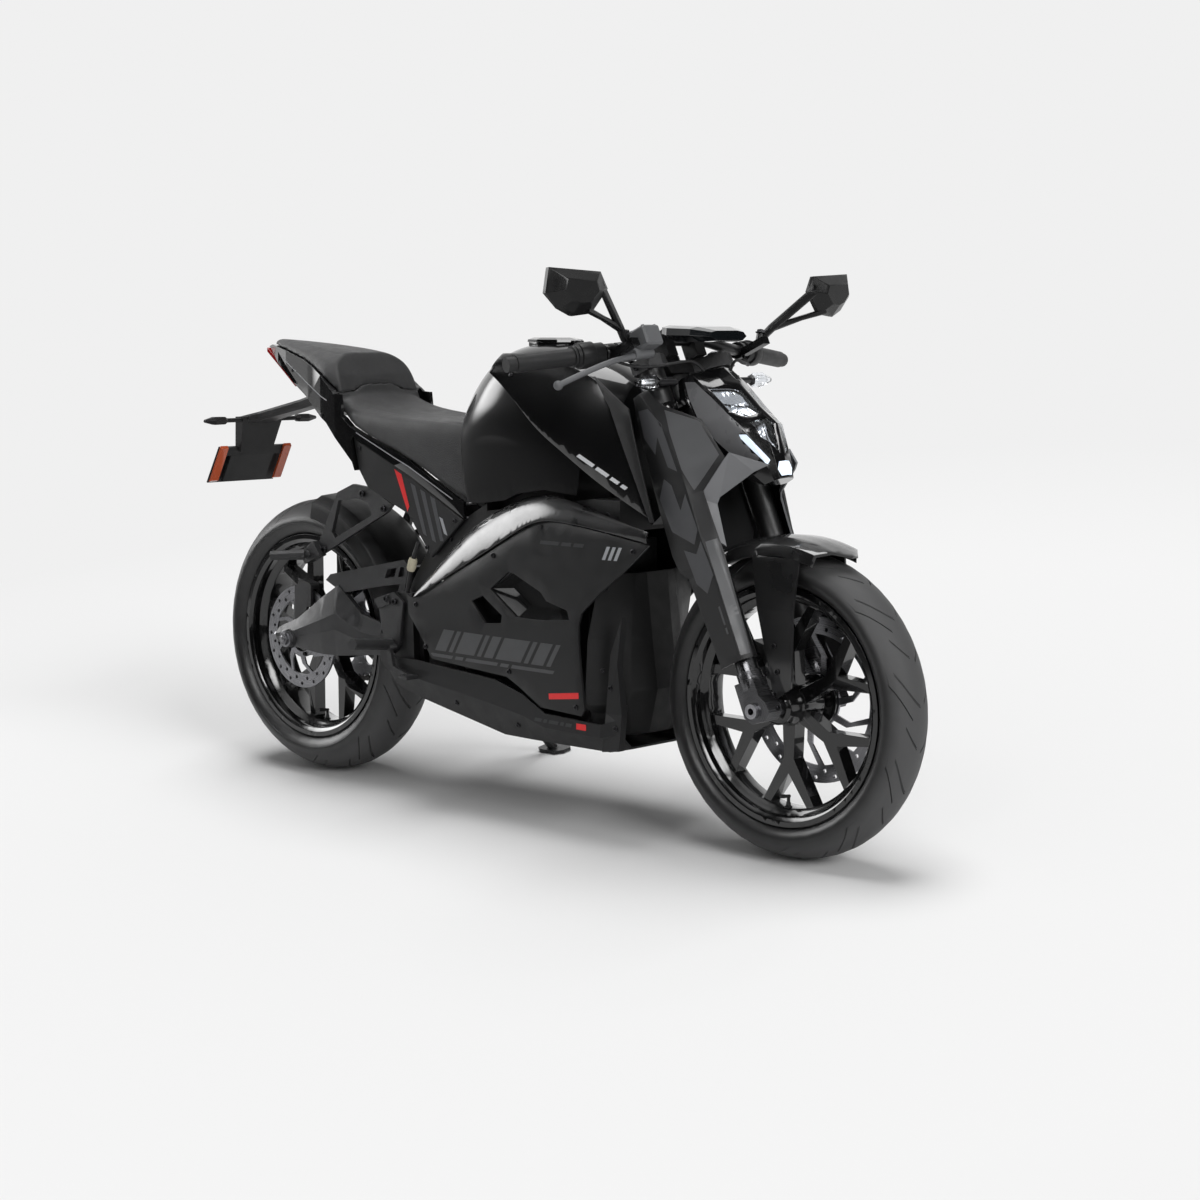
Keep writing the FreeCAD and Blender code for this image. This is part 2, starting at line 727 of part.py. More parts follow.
def mask_front(depth):
    """What of the mask lies within a depth of its front surface."""
    behind = mask_block()
    behind.translate(Vector(-depth, 0, 0))
    return mask_block().cut(behind)


def headlamp_mask():
    block = mask_block()
    pocket = mask_front(26)
    for outline in (UPPER_LENS, LOWER_LENS):
        hole = both_sides(lamp_prism(outline))
        block = block.cut(hole.common(pocket))
    lamps = fused(both_sides(lamp_prism(SIDE_LAMP)), centre_prism())
    block = block.cut(lamps.common(mask_front(6)))
    block = block.cut(plan_prism([(-99, -99), (26, -99), (26, 99), (-99, 99)], 300, 900))
    reach = size("outer_tube_radius")
    clamp = rod((0, LEG, 590), (0, LEG, 606), reach + 4).fuse(Part.makeBox(34, 26, 12, Vector(14, 58, 592)))
    clamp = clamp.cut(rod((0, LEG, 580), (0, LEG, 620), reach + GAP))
    return fused(block, clamp, mirrored(clamp))


def headlamp_lenses():
    skin = mask_front(3)
    made = []
    for outline in (UPPER_LENS, LOWER_LENS):
        made.append(both_sides(lamp_prism(outline, GAP)).common(skin))
    return Part.makeCompound([solid for part in made for solid in part.Solids])


def position_lamps():
    skin = mask_front(5.5)
    side = both_sides(lamp_prism(SIDE_LAMP, GAP)).common(skin)
    middle = centre_prism(GAP).common(skin)
    return Part.makeCompound(side.Solids + middle.Solids)


def indicator(length, height):
    """A pod lamp that tapers both ways along Y."""
    def ring(y, grow):
        half = [(-length / 2 * grow, 0), (-length / 4 * grow, height / 2 * grow), (length / 4 * grow, height / 2 * grow),
                (length / 2 * grow, 0), (length / 4 * grow, -height / 2 * grow), (-length / 4 * grow, -height / 2 * grow)]
        return polygon([(x, y, z) for x, z in half])
    return loft([ring(0, 0.5), ring(8, 0.95), ring(36, 1.0), ring(62, 0.35)])


def front_indicators():
    lamp = indicator(30, 26)
    lamp.translate(Vector(38, 134, 640))
    stalk = rod((38, 84, 640), (38, 140, 640), 6)
    reach = size("outer_tube_radius")
    clamp = rod((0, LEG, 641), (0, LEG, 654), reach + 4).fuse(Part.makeBox(38, 18, 10, Vector(0, LEG - 9, 641)))
    clamp = clamp.cut(rod((0, LEG, 600), (0, LEG, 680), reach + GAP))
    return both_sides(fused(lamp, stalk, clamp))


SHROUD = (
    (640, ((-40, 125), (-18, 131), (2, 129))),
    (600, ((-46, 126), (0, 133), (24, 126))),
    (545, ((-53, 127), (18, 136), (86, 104))),
    (462, ((-59, 127), (24, 136), (104, 96))),
    (418, ((-63, 126), (25, 136), (48, 118))),
    (330, ((-70, 123), (20, 134), (42, 110))),
    (298, ((-66, 122), (22, 132), (42, 108))),
    (276, ((-48, 123), (22, 131), (40, 108))),
    (96, ((-41, 121), (17, 130), (30, 108))),
)


def fork_shroud():
    wires = []
    for height, outer in SHROUD:
        inner = [(x - dx, y - 3.6, height) for (x, y), dx in zip(outer, (0, 0, 3.0))]
        wires.append(polygon([(x, y, height) for x, y in outer] + inner[::-1]))
    cover = loft(wires)
    straps = []
    reach = size("outer_tube_radius")
    for height, out in ((130, 126), (250, 126.8), (500, 131.8)):
        strap = plan_prism([(-6, LEG + 8), (10, LEG + 8), (10, out), (-6, out)], height, height + 14)
        straps.append(strap.cut(rod((0, LEG, height - 9), (0, LEG, height + 30), reach + 0.1)))
    return fused(cover, *straps)


def fork_shrouds():
    """Folded covers outside the fork legs: a broad side facet and a narrow front one."""
    return both_sides(fork_shroud())


def fork_wings():
    """Folded panels that run from the lamp's chin round the front of each leg."""
    tip = (112, 90, 468)
    chin = (156, 42, 424)
    brow = (132, 62, 420)
    notch = (60, 92, 399)
    knee = (52, 96, 388)
    foot = (45, 100, 307)
    heel = (30, 122, 338)
    elbow = (32, 126, 412)
    facets = ((tip, chin, brow), (tip, brow, notch), (tip, notch, elbow), (elbow, notch, knee),
              (elbow, knee, heel), (heel, knee, foot))
    wing = folded_plate(facets, (-2.6, -2.2, 0))
    cover = fork_shroud()
    for shift in ((0, 0, 0), (GAP, 0, 0), (0, GAP, 0), (0, -GAP, 0)):
        moved = cover.copy()
        moved.translate(Vector(*shift))
        wing = wing.cut(moved)
    return both_sides(wing)


def mudguard():
    """Front guard: a crowned arch over the tyre with a leg down to each axle lug."""
    radius = size("front_tyre_radius") + 27
    wall = 3.5
    outer = [(-70, radius - 34), (-64, radius - 14), (-40, radius - 3), (0, radius), (40, radius - 3),
             (64, radius - 14), (70, radius - 34)]
    inner = [(y * 0.95, r - wall) for y, r in reversed(outer)]
    face = Part.Face(polygon([(0, y, r) for y, r in outer + inner]))
    face.rotate(Vector(), Vector(0, 1, 0), -38)
    arch = face.revolve(Vector(), Vector(0, 1, 0), 64)
    nose = plan_prism([(80, 81), (146, 0), (240, 0), (240, 120), (80, 120)], 0, 400)
    arch = arch.cut(nose).cut(mirrored(nose))
    levels = ((-48, 284, 64, 280, 66.3), (-24, 185, 61, 185, 0), (19, 18, 58, 44, 0))
    inner = size("lug_inner") - GAP - 4
    rings = []
    for rear, rear_height, front, front_height, arch_y in levels:
        y = arch_y or inner
        rings.append(polygon([(rear, y, rear_height), (front, y, front_height),
                              (front, y + 4, front_height), (rear, y + 4, rear_height)]))
    leg = loft(rings)
    return fused(arch, leg, mirrored(leg))


def caliper(disc_radius, y, half, span, turn):
    """A caliper that straddles a disc's edge, at an angle about the axle."""
    outline = [(-span / 2, -38), (-span / 2 + 9, 16), (span / 2 - 9, 16), (span / 2, -38)]
    block = side_prism(outline, y - half, y + half)
    block = block.makeChamfer(5, [e for e in block.Edges if e.BoundBox.YLength > 1])
    slot = side_prism([(-span, -60), (-span, 4), (span, 4), (span, -60)], y - 5, y + 5)
    block = block.cut(slot)
    block.translate(Vector(0, 0, disc_radius))
    block.rotate(Vector(), Vector(0, 1, 0), turn)
    return block


def front_caliper():
    """The caliper with its lug to the slider's foot."""
    block = caliper(size("front_disc_radius"), size("front_disc_offset"), 24, 92, -66)
    lug = beam([((-118, LEG - 4, 62), 12, 34), ((-40, LEG - 4, 41), 12, 34)], (0, 1, 0))
    foot = Part.makeBox(60, 40, 90, Vector(-25 - GAP, LEG - 16, -30))
    slider = rod((0, LEG, -30), (0, LEG, 330), size("slider_radius") + 3.5 + GAP).fuse(foot)
    slider.rotate(Vector(), Vector(0, 1, 0), -size("rake"))
    return fused(block, lug).cut(slider)


feature("fork_sliders", fork_sliders(), FORK)
feature("fork_outer_tubes", fork_outer_tubes(), FORK)
feature("steering_yokes", yokes(), FORK)
feature("handlebar", handlebar(), FORK)
feature("grips", grips(), FORK)
feature("switch_housings", switch_housings(), FORK)
feature("front_brake_master", brake_master(), FORK)
feature("mirrors", mirrors())
feature("mirror_glass", mirror_glass())
feature("dash_display", dash(), FORK)
feature("headlamp_mask", headlamp_mask(), FORK)
feature("headlamp_lenses", headlamp_lenses(), FORK)
feature("position_lamps", position_lamps(), FORK)
feature("front_indicators", front_indicators(), FORK)
feature("fork_shrouds", fork_shrouds(), FORK)
feature("fork_wings", fork_wings(), FORK)
feature("front_mudguard", mudguard(), FRONT_WHEEL)
feature("front_caliper", front_caliper(), FRONT_WHEEL)


# Chassis, in the design frame

SPAR_OUTER = 114
PIVOT = Vector(-size("wheelbase") / 2 + size("pivot_ahead"), 0, size("pivot_height"))
MOTOR_AT = Vector(-size("wheelbase") / 2 + size("motor_axis_ahead"), 0, size("motor_axis_height"))


def fork_point(ahead, y, height):
    return FORK.multVec(Vector(ahead, y, height))


def along_pivot(x, z, half, radius):
    return rod((x, -half, z), (x, half, z), radius)


def frame():
    """Head tube, neck, side spars, pivot plates, subframe rails and the stand's lug."""
    low = fork_point(STEM_N, 0, size("lower_yoke_height") + size("yoke_thickness") / 2 + 4)
    top = fork_point(STEM_N, 0, size("upper_yoke_height") - size("yoke_thickness") / 2 - 4)
    axis = top - low
    head = Part.makeCylinder(size("head_tube_radius"), axis.Length, low, axis)
    bore = Part.makeCylinder(size("stem_radius") + size("shaft_gap"), axis.Length + 20, low - axis * 0.05, axis)
    tank_end = 286 + GAP
    neck = side_prism([(388, 806), (352, 868), (tank_end, 850), (tank_end, 700), (330, 610), (366, 640),
                       (369, 788)], -26, 26)
    cross = Part.makeBox(70, 2 * 118, 60, Vector(262, -118, 604))
    spar = side_prism([(332, 604), (332, 664), (262, 664), (-60, 622), (-200, 560), (-262, 470), (-300, 400),
                       (-262, 262), (-228, 270), (-246, 400), (-190, 470), (-40, 592), (262, 604)], 100, SPAR_OUTER)
    plate = side_prism([(-300, 440), (-250, 440), (-246, 300), (-262, 268), (-330, 268), (-352, 290),
                        (-356, 345), (-330, 372)], 113, 131)
    rail = beam([((-60, 92, 636), 18, 26), ((-250, 92, 718), 18, 26), ((-430, 80, 776), 18, 24)], (0, 0, 1))
    drop = side_prism([(-96, 610), (-40, 640), (-40, 592), (-90, 580)], 83, 114)
    side = fused(spar, plate, rail, drop)
    rear_cross = Part.makeBox(20, 190, 20, Vector(-428, -95, 762))
    shock_cross = Part.makeBox(40, 216, 24, Vector(-212, -108, 601))
    shock_legs = Part.makeBox(40, 16, 70, Vector(-212, 98, 545))
    side = fused(side, shock_legs)
    made = fused(head, neck, cross, side, mirrored(side), rear_cross, shock_cross)
    made = made.cut(bore)
    made = made.cut(along_pivot(PIVOT.x, PIVOT.z, 140, size("pivot_radius") - 4))
    made = made.fuse(side_prism([(-332, 290), (-282, 290), (-288, 244), (-324, 244)], 113, 129.5))
    for part in stand_mount():
        made = made.fuse(part)
    return made.removeSplitter()


# Side stand: hinge, leg down and hinge, leg folded
STAND_AT = Vector(-306, 146, 258)
FOOT_AT = Vector(-246, 292, 0)
FOLDED = Vector(-0.985, 0.10, -0.14)


def ground_height(y):
    """The floor's height below a point of the upright design frame, once the bike leans."""
    return y * math.tan(LEAN) + 0.8


FOOT = Vector(FOOT_AT.x, FOOT_AT.y, ground_height(FOOT_AT.y))
LEG_DOWN = (FOOT - STAND_AT).normalize()
STAND_AXIS = LEG_DOWN.cross(FOLDED).normalize()


def stand_rod(start, end, radius):
    return Part.makeCylinder(radius, end - start, STAND_AT + STAND_AXIS * start, STAND_AXIS)


def stand_mount():
    """The frame's lug with the pin that the stand turns on, and the pin's head."""
    return (stand_rod(-34, -9, 15), stand_rod(-12, 10, size("stand_pin_radius")), stand_rod(9, 13, 11))


def side_stand():
    """Boss, tube leg and foot plate that lies flat on the floor when the bike leans."""
    boss = stand_rod(-8.7, 8.7, 15)
    leg_end = FOOT - LEG_DOWN * 6
    leg = Part.makeCylinder(size("stand_leg_radius"), (leg_end - STAND_AT).Length, STAND_AT, LEG_DOWN)
    up = Vector(0, -math.sin(LEAN), math.cos(LEAN))
    pad = plan_prism([(-34, -18), (-22, -26), (24, -26), (38, -10), (38, 12), (22, 26), (-22, 26), (-34, 16)], 0, 7)
    pad.Placement = Placement(FOOT, Rotation(Vector(0, 0, 1), up))
    tang = Part.makeCylinder(6, 52, STAND_AT + LEG_DOWN * 150, Vector(0.25, 0.95, 0.2))
    hollow = stand_rod(-20, 20, size("stand_pin_radius") + GAP)
    return fused(boss, leg.cut(stand_rod(-40, -8.7, 19)).cut(stand_rod(8.7, 40, 19)), pad, tang).cut(hollow)


frame_shape = frame()
feature("frame", frame_shape)
feature("side_stand", side_stand())
battery = doc.addObject("Part::Box", "battery_block")
battery.Length, battery.Height = 355, 358
battery.setExpression("Width", "2 * sizes.battery_half_width")
battery.Placement.Base = Vector(-122, -size("battery_half_width"), 216)
keep(battery, "battery_block")
motor = doc.addObject("Part::Cylinder", "motor_block")
motor.setExpression("Radius", "sizes.motor_radius")
motor.setExpression("Height", "2 * sizes.motor_half_width")
motor.Placement = Placement(MOTOR_AT + Vector(0, size("motor_half_width"), 0), Rotation(Vector(1, 0, 0), 90))
keep(motor, "motor_block")


def swing_arm():
    """Two tapered arms from the pivot tube to the axle, with a lattice brace above each."""
    inner = size("arm_inner")

    def section(x, low, high, outer):
        middle = (low + high) / 2
        tall = (high - low) / 2
        return polygon([(x, inner, low), (x, outer - 8, low), (x, outer, middle - tall * 0.25),
                        (x, outer, middle + tall * 0.2), (x, outer - 10, high), (x, inner, high)])

    arm = loft([section(-330, 296, 340, 110), section(-378, 294, 362, 110), section(-440, 288, 378, 117),
                section(-512, 281, 436, 122), section(-560, 280, 408, 124), section(-650, 286, 352, 122),
                section(-722, 292, 326, 118)])
    brace = side_prism([(-556, 444), (-540, 458), (-300, 506), (-286, 494), (-294, 456), (-374, 444), (-500, 420)],
                       inner + 2, inner + 12)
    holes = [side_prism([(-362, 462), (-330, 468), (-322, 488), (-352, 482)], 0, 200),
             side_prism([(-318, 468), (-300, 470), (-298, 490), (-311, 490)], 0, 200)]
    brace = brace.cut(Part.makeCompound(holes))
    strut = side_prism([(-330, 330), (-296, 460), (-312, 466), (-352, 340)], inner + 2, inner + 10)
    side = fused(arm, brace, strut)
    boss = rod((AXLE_R.x, inner, AXLE_R.z), (AXLE_R.x, size("arm_boss_outer"), AXLE_R.z), 20)
    side = fused(side, boss).cut(along_pivot(AXLE_R.x, AXLE_R.z, 200, size("rear_axle_radius") + size("shaft_gap")))
    tube = along_pivot(PIVOT.x, PIVOT.z, 112, size("pivot_radius"))
    cross = Part.makeBox(34, 2 * inner + 8, 26, Vector(-330, -inner - 4, 462))
    lug = side_prism([(-330, 470), (-300, 470), (-290, 520), (-318, 520)], -16, 16)
    bolt = along_pivot(PIVOT.x, PIVOT.z, 131, size("pivot_radius") - 4 - GAP)
    return fused(side, mirrored(side), tube, cross, lug, bolt)


def hugger():
    """Guard over the front of the rear tyre, with side skirts."""
    radius = size("rear_tyre_radius") + 18
    outer = [(-88, radius - 52), (-86, radius - 18), (-60, radius - 3), (0, radius + 2), (60, radius - 3),
             (86, radius - 18), (88, radius - 52)]
    inner = [(y * 0.96, r - 3) for y, r in reversed(outer)]
    face = Part.Face(polygon([(0, y, r) for y, r in outer + inner]))
    face.rotate(Vector(), Vector(0, 1, 0), 8)
    arch = face.revolve(Vector(), Vector(0, 1, 0), 52)
    arch.translate(AXLE_R)
    reach = size("arm_inner") + 2 - GAP
    tab = Part.makeBox(26, reach - 86, 16, Vector(-438, 86, 450))
    return fused(arch, tab, mirrored(tab))


def rear_shock():
    """Damper with the coils of its spring, from the arm's lug up to the frame."""
    foot, top = Vector(-302, 0, 516), Vector(-200, 0, 606)
    along = (top - foot).normalize()
    length = (top - foot).Length
    made = [Part.makeCylinder(9, length, foot, along),
            Part.makeCylinder(18, length * 0.45, foot + along * (length * 0.4), along)]
    for i in range(5):
        at = foot + along * (26 + i * length * 0.13)
        made.append(Part.makeCylinder(25, 6, at, along))
    return fused(*made).cut(arm_shape).cut(frame_shape)


def rear_caliper():
    """The caliper on a plate that hangs on the axle, between the disc and the arm."""
    line = -size("rear_disc_offset")
    block = caliper(size("rear_disc_radius"), line, 12.4, 60, 12)
    low, high = -size("arm_inner") + GAP, line - 5.5
    hanger = side_prism([(-20, 0), (-8, 118), (44, 112), (30, 60), (20, 0), (14, -16), (-14, -16)], low, high)
    return fused(block, hanger).cut(rod((0, -120, 0), (0, 0, 0), 14 + GAP))


def chain_loop():
    """The drive chain as one closed loop of plates each side of a roller band."""
    pitch = size("chain_pitch")
    big = pitch / (2 * math.sin(math.pi / size("driven_teeth"))) + 6.5
    small = pitch / (2 * math.sin(math.pi / size("drive_teeth"))) + 6.5
    gap = AXLE_R.distanceToPoint(MOTOR_AT)
    slope = math.atan2(MOTOR_AT.z - AXLE_R.z, MOTOR_AT.x - AXLE_R.x)
    spread = math.acos((big - small) / gap)

    def loop(grow):
        ends = []
        for centre, radius in ((AXLE_R, big + grow), (MOTOR_AT, small + grow)):
            for sign in (1, -1):
                angle = slope + sign * spread
                ends.append((centre.x + radius * math.cos(angle), centre.z + radius * math.sin(angle)))
        rear_top, rear_low, front_top, front_low = [Vector(x, 0, z) for x, z in ends]
        back = AXLE_R + Vector(-math.cos(slope), 0, -math.sin(slope)) * (big + grow)
        ahead = MOTOR_AT + Vector(math.cos(slope), 0, math.sin(slope)) * (small + grow)
        wire = Part.Wire([
            Part.Arc(rear_low, back, rear_top).toShape(), Part.LineSegment(rear_top, front_top).toShape(),
            Part.Arc(front_top, ahead, front_low).toShape(), Part.LineSegment(front_low, rear_low).toShape(),
        ])
        return Part.Face(wire)

    line = size("chain_line")

    def band(out, inn, low, high):
        ring = loop(out).cut(loop(inn))
        ring.translate(Vector(0, low, 0))
        return ring.extrude(Vector(0, high - low, 0))

    return fused(band(7, -6.5, line - 7.5, line - 5), band(5, -1, line - 5.2, line + 5.2), band(7, -6.5, line + 5, line + 7.5))


def side_covers():
    """Broad outer panels, gently crowned, with two vents and a folded lower front corner."""
    outline = [(-254, 438), (-230, 432), (-135, 478), (-14, 536), (69, 580), (126, 610), (160, 618), (216, 616),
               (325, 603), (434, 586), (374, 532), (315, 488), (266, 444), (258, 420), (258, 383), (263, 319),
               (268, 254), (259, 240), (148, 245), (87, 280), (52, 297), (-178, 310), (-215, 359), (-250, 399)]
    stations = []
    for x, outer, tuck in ((-262, 141, 2), (-60, 152, 3), (160, 158, 3), (300, 157, 2), (440, 151, 0)):
        stations.append((x, [(outer - 6 - tuck, 225), (outer, 330), (outer + tuck - 1, 450), (outer - 1, 560), (outer - 6, 640)]))
    panel = curved_panel(stations, WALL, (-1, 0))
    panel = panel.common(side_prism(outline, 60, 200))
    vents = [side_prism([(9, 472), (62, 510), (77, 508), (154, 477), (171, 460), (228, 446), (233, 428), (160, 421), (85, 421)], 60, 200),
             side_prism([(-47, 443), (-14, 456), (43, 421), (41, 405), (-6, 400)], 60, 200)]
    panel = panel.cut(Part.makeCompound(vents))
    spar = SPAR_OUTER + GAP
    return both_sides(fused(panel, rod((150, spar, 605), (150, 154, 605), 5), rod((-234, spar, 424), (-234, 139, 424), 5)))


def shoulder_covers():
    """Glossy shoulders between the tank and the side covers."""
    stations = []
    for x, top, base in (
        (-228, (128, 446), (149, 434)), (-135, (120, 556), (153, 482)), (-14, (120, 624), (155, 541)),
        (69, (121, 658), (157, 585)), (141, (123, 670), (159, 621)), (216, (128, 660), (158, 621)),
        (325, (140, 633), (155, 608)), (432, (148, 612), (152, 591)),
    ):
        bulge = ((top[0] * 0.45 + base[0] * 0.55) + 5, (top[1] * 0.55 + base[1] * 0.45) + 6)
        low = ((top[0] * 0.2 + base[0] * 0.8) + 3, (top[1] * 0.22 + base[1] * 0.78) + 3)
        stations.append((x, [base, low, bulge, top]))
    panel = curved_panel(stations, 3.5, (-0.8, -0.55))
    reach = 134.5 - SPAR_OUTER - GAP
    return both_sides(fused(panel, Part.makeBox(20, reach, 10, Vector(50, SPAR_OUTER + GAP, 628))))


def belly_cowl():
    """Faceted belly pan, open above, with an upright post at each front corner."""
    def ring(x, low, high, base, side, wall=0.0):
        half = [(base - wall, low + wall), (side - wall, high * 0.55 + low * 0.45), (side - wall * 1.2, high + wall * 4)]
        right = [(x, y, z) for y, z in half]
        left = [(x, -y, z) for y, z in reversed(half)]
        return polygon(right + left)

    rows = ((-314, 238, 300, 118, 141), (-237, 217, 303, 114, 141), (8, 169, 286, 112, 141), (87, 168, 264, 112, 141),
            (150, 168, 232, 112, 141), (300, 168, 226, 110, 139), (345, 178, 240, 100, 133))
    outer = loft([ring(*row) for row in rows])
    hollow = loft([ring(row[0], *row[1:], 4.0) for row in rows])
    behind = loft([ring(x, *rows[0][1:], 4.0) for x in (-330, -314)])
    stand_side = Part.makeBox(70, 60, 120, Vector(-332, 105, 200))
    hollow = fused(hollow, behind, stand_side)
    pan = outer.cut(hollow)
    post = side_prism([(300, 172), (345, 178), (352, 250), (340, 349), (352, 441), (322, 366), (310, 250)], 118, 134)
    rest = rod((-257, 131 + GAP, 285), (-257, 139, 285), 4)
    return fused(pan, post, mirrored(post), rest, mirrored(rest))


def front_cowl():
    """Dark faceted nose of the battery case behind the front wheel, with a tab to each post."""
    def ring(z, nose, corner, corner_y, back, back_y):
        half = [(nose, 30, z), (corner, corner_y, z), (back, back_y, z)]
        return polygon([(x, -y, z) for x, y, z in reversed(half)] + half)

    outer = loft([ring(200, 330, 318, 70, 262, 126), ring(244, 341, 324, 76, 264, 126),
                  ring(262, 345, 326, 80, 265, 144), ring(290, 352, 330, 84, 266, 145.5),
                  ring(390, 338, 322, 74, 272, 146.5), ring(520, 322, 318, 60, 300, 140.5)])
    inner = outer.copy()
    inner.translate(Vector(-5, 0, 0))
    tab = Part.makeBox(34, 118 - GAP - 92, 12, Vector(296, 92, 250))
    return fused(outer.cut(inner), tab, mirrored(tab))


def tank_cover():
    """Tank-shaped cover: narrow where it meets the seat, broad at the knees, low at the front."""
    rows = (
        (-158, ((0, 812), (30, 810), (60, 800), (80, 780), (96, 740), (112, 640))),
        (-134, ((0, 868), (34, 866), (66, 850), (96, 800), (118, 740), (122, 640))),
        (-92, ((0, 916), (42, 914), (84, 892), (122, 830), (142, 770), (128, 640))),
        (-40, ((0, 952), (48, 948), (98, 924), (140, 860), (156, 790), (132, 640))),
        (20, ((0, 966), (54, 964), (108, 940), (150, 870), (162, 800), (134, 650))),
        (100, ((0, 966), (54, 962), (106, 932), (146, 850), (158, 780), (134, 660))),
        (190, ((0, 944), (48, 938), (98, 902), (128, 830), (140, 760), (126, 660))),
        (250, ((0, 918), (40, 910), (80, 876), (98, 810), (106, 740), (104, 660))),
        (286, ((0, 892), (32, 884), (60, 852), (72, 790), (78, 720), (80, 660))),
    )
    cover = cushion(rows)
    behind = side_prism([(-300, 500), (-84, 500), (-84, 650), (-108, 806), (-300, 806)], -200, 200)
    below = side_prism([(-170, 500), (-170, 700), (250, 770), (330, 780), (330, 500)], -116, 116)
    flank = side_prism([(-170, 500), (-170, 556), (-135, 566), (-14, 632), (69, 666), (141, 677), (216, 668),
                        (330, 640), (330, 500)], -200, 200)
    plinth = charge_pad(-40, TANK_PAD, 0.94)
    socket = charge_pad(TANK_PAD - 22, TANK_PAD + 9, 0.8)
    knuckles = hinge_rod(LID_PIN + GAP, 16, 3).fuse(hinge_rod(-16, -LID_PIN - GAP, 3))
    cover = fused(cover, plinth).cut(behind).cut(below).cut(flank).cut(socket)
    return fused(cover.cut(hinge_rod(-LID_PIN - GAP, LID_PIN + GAP, 3 + GAP)), knuckles)


LID_AT = Vector(30, 0, 966)
LID_OUTLINE = ((-44, 0), (-36, 30), (6, 46), (56, 38), (76, 0))
TANK_PAD = -GAP
LID_PIN = 9


def hinge_rod(low, high, radius):
    """A round of the charging lid's hinge, along its axis."""
    return rod((LID_AT.x + 76, low, LID_AT.z + 0.5), (LID_AT.x + 76, high, LID_AT.z + 0.5), radius)


def charge_pad(low, high, grow):
    """A block of the charging lid's outline, between two heights from the lid's seat."""
    ring = [(x * grow, y * grow) for x, y in LID_OUTLINE]
    ring = ring + [(x, -y) for x, y in reversed(ring[1:-1])]
    return plan_prism([(LID_AT.x + x, y) for x, y in ring], LID_AT.z + low, LID_AT.z + high)


def tank_shrouds():
    """Outer side panels of the tank, from its top edge down to the swept lower line."""
    stations = []
    for x, line in (
        (6, ((150, 906), (146, 916), (134, 930), (112, 944))),
        (60, ((152, 872), (151, 894), (138, 922), (110, 946))),
        (126, ((153, 802), (154, 850), (144, 902), (108, 938))),
        (200, ((153, 762), (156, 825), (148, 880), (108, 920))),
        (300, ((152, 700), (157, 780), (152, 840), (128, 886))),
        (380, ((152, 664), (155, 730), (153, 800), (148, 850))),
        (446, ((151, 634), (153, 680), (152, 730), (150, 780))),
    ):
        stations.append((x, list(line)))
    panel = curved_panel(stations, 4.0, (-0.92, -0.3))
    ahead = side_prism([(285.6, 903), (332.6, 844), (405.6, 702), (440.6, 630), (600, 620), (600, 1000),
                        (285.6, 1000)], 0, 300)
    rest = rod((100, 128, 850), (100, 149.5, 850), 7)
    for shift in (0, GAP):
        moved = tank.copy()
        moved.translate(Vector(0, shift, 0))
        rest = rest.cut(moved)
    return both_sides(fused(panel.cut(ahead), rest))


def shroud_strips():
    """Matte strips along the front of the tank panels."""
    outline = [(286, 903), (384, 842), (396, 800), (450, 632), (441, 630), (406, 702), (333, 844)]
    stations = []
    for x, outer in ((280, 149), (350, 155), (452, 153)):
        stations.append((x, [(outer, 620), (outer + 1, 760), (outer - 2, 860), (outer - 8, 920)]))
    strip = curved_panel(stations, 4.0, (-1, 0))
    return both_sides(strip.common(side_prism(outline, 60, 200)))


def charge_lid():
    """Faceted flap over the charging socket on the tank's top."""
    half = list(LID_OUTLINE)
    ring = half + [(x, -y) for x, y in reversed(half[1:-1])]
    rings = []
    for rise, grow in ((0, 1.0), (5, 0.98), (9, 0.72)):
        rings.append(polygon([(LID_AT.x + x * grow, y * grow, LID_AT.z + rise) for x, y in ring]))
    return fused(loft(rings), hinge_rod(-LID_PIN, LID_PIN, 3))


SEAM = ((40, 873.5), (70, 858.5), (107, 855), (150, 855))
STEP_BACK = -503
SADDLE_EDGE = ((-84, 641), (-130, 657), (-190, 687), (-256, 722), (-330, 748), (-400, 771), (-440, 787),
               (-468, 808), (-486, 821))
PILLION_FOOT = ((-503, 861), (-511, 866), (-545, 892), (-586, 909), (-640, 925), (-740, 943), (-832, 956),
                (-880, 962))


def pillion_block():
    """The pillion's pad before it's parted from the saddle: a sloping front face and a tapering back."""
    rows = (
        (-470, ((0, 932), (46, 934), (72, 926), (98, 886), (113, 830))),
        (-500, ((0, 934), (46, 936), (74, 930), (108, 890), (118, 834))),
        (-529, ((0, 938), (46, 940), (80, 935), (136, 902), (124, 850))),
        (-565, ((0, 945), (46, 946), (78, 941), (128, 914), (118, 860))),
        (-612, ((0, 953), (44, 953), (74, 946), (108, 928), (103, 890))),
        (-740, ((0, 965), (30, 964), (48, 958), (60, 952), (62, 930))),
        (-828, ((0, 969), (9, 968), (15, 965), (19, 962), (20, 950))),
    )
    face = side_prism([(-400, 800), (-487, 800), (-491, 850), (-499, 874), (-506, 891), (-529, 928),
                       (-545, 950), (-400, 960)], -200, 200)
    return cushion(rows).cut(face)


def below_seam(back, rise):
    """Everything in front of a plane and below the seam between the two seats."""
    half = [(y, z + rise) for y, z in SEAM]
    ring = [(-150, 700), (150, 700)] + half[::-1] + [(-y, z) for y, z in half]
    return front_prism(ring, back, -400)


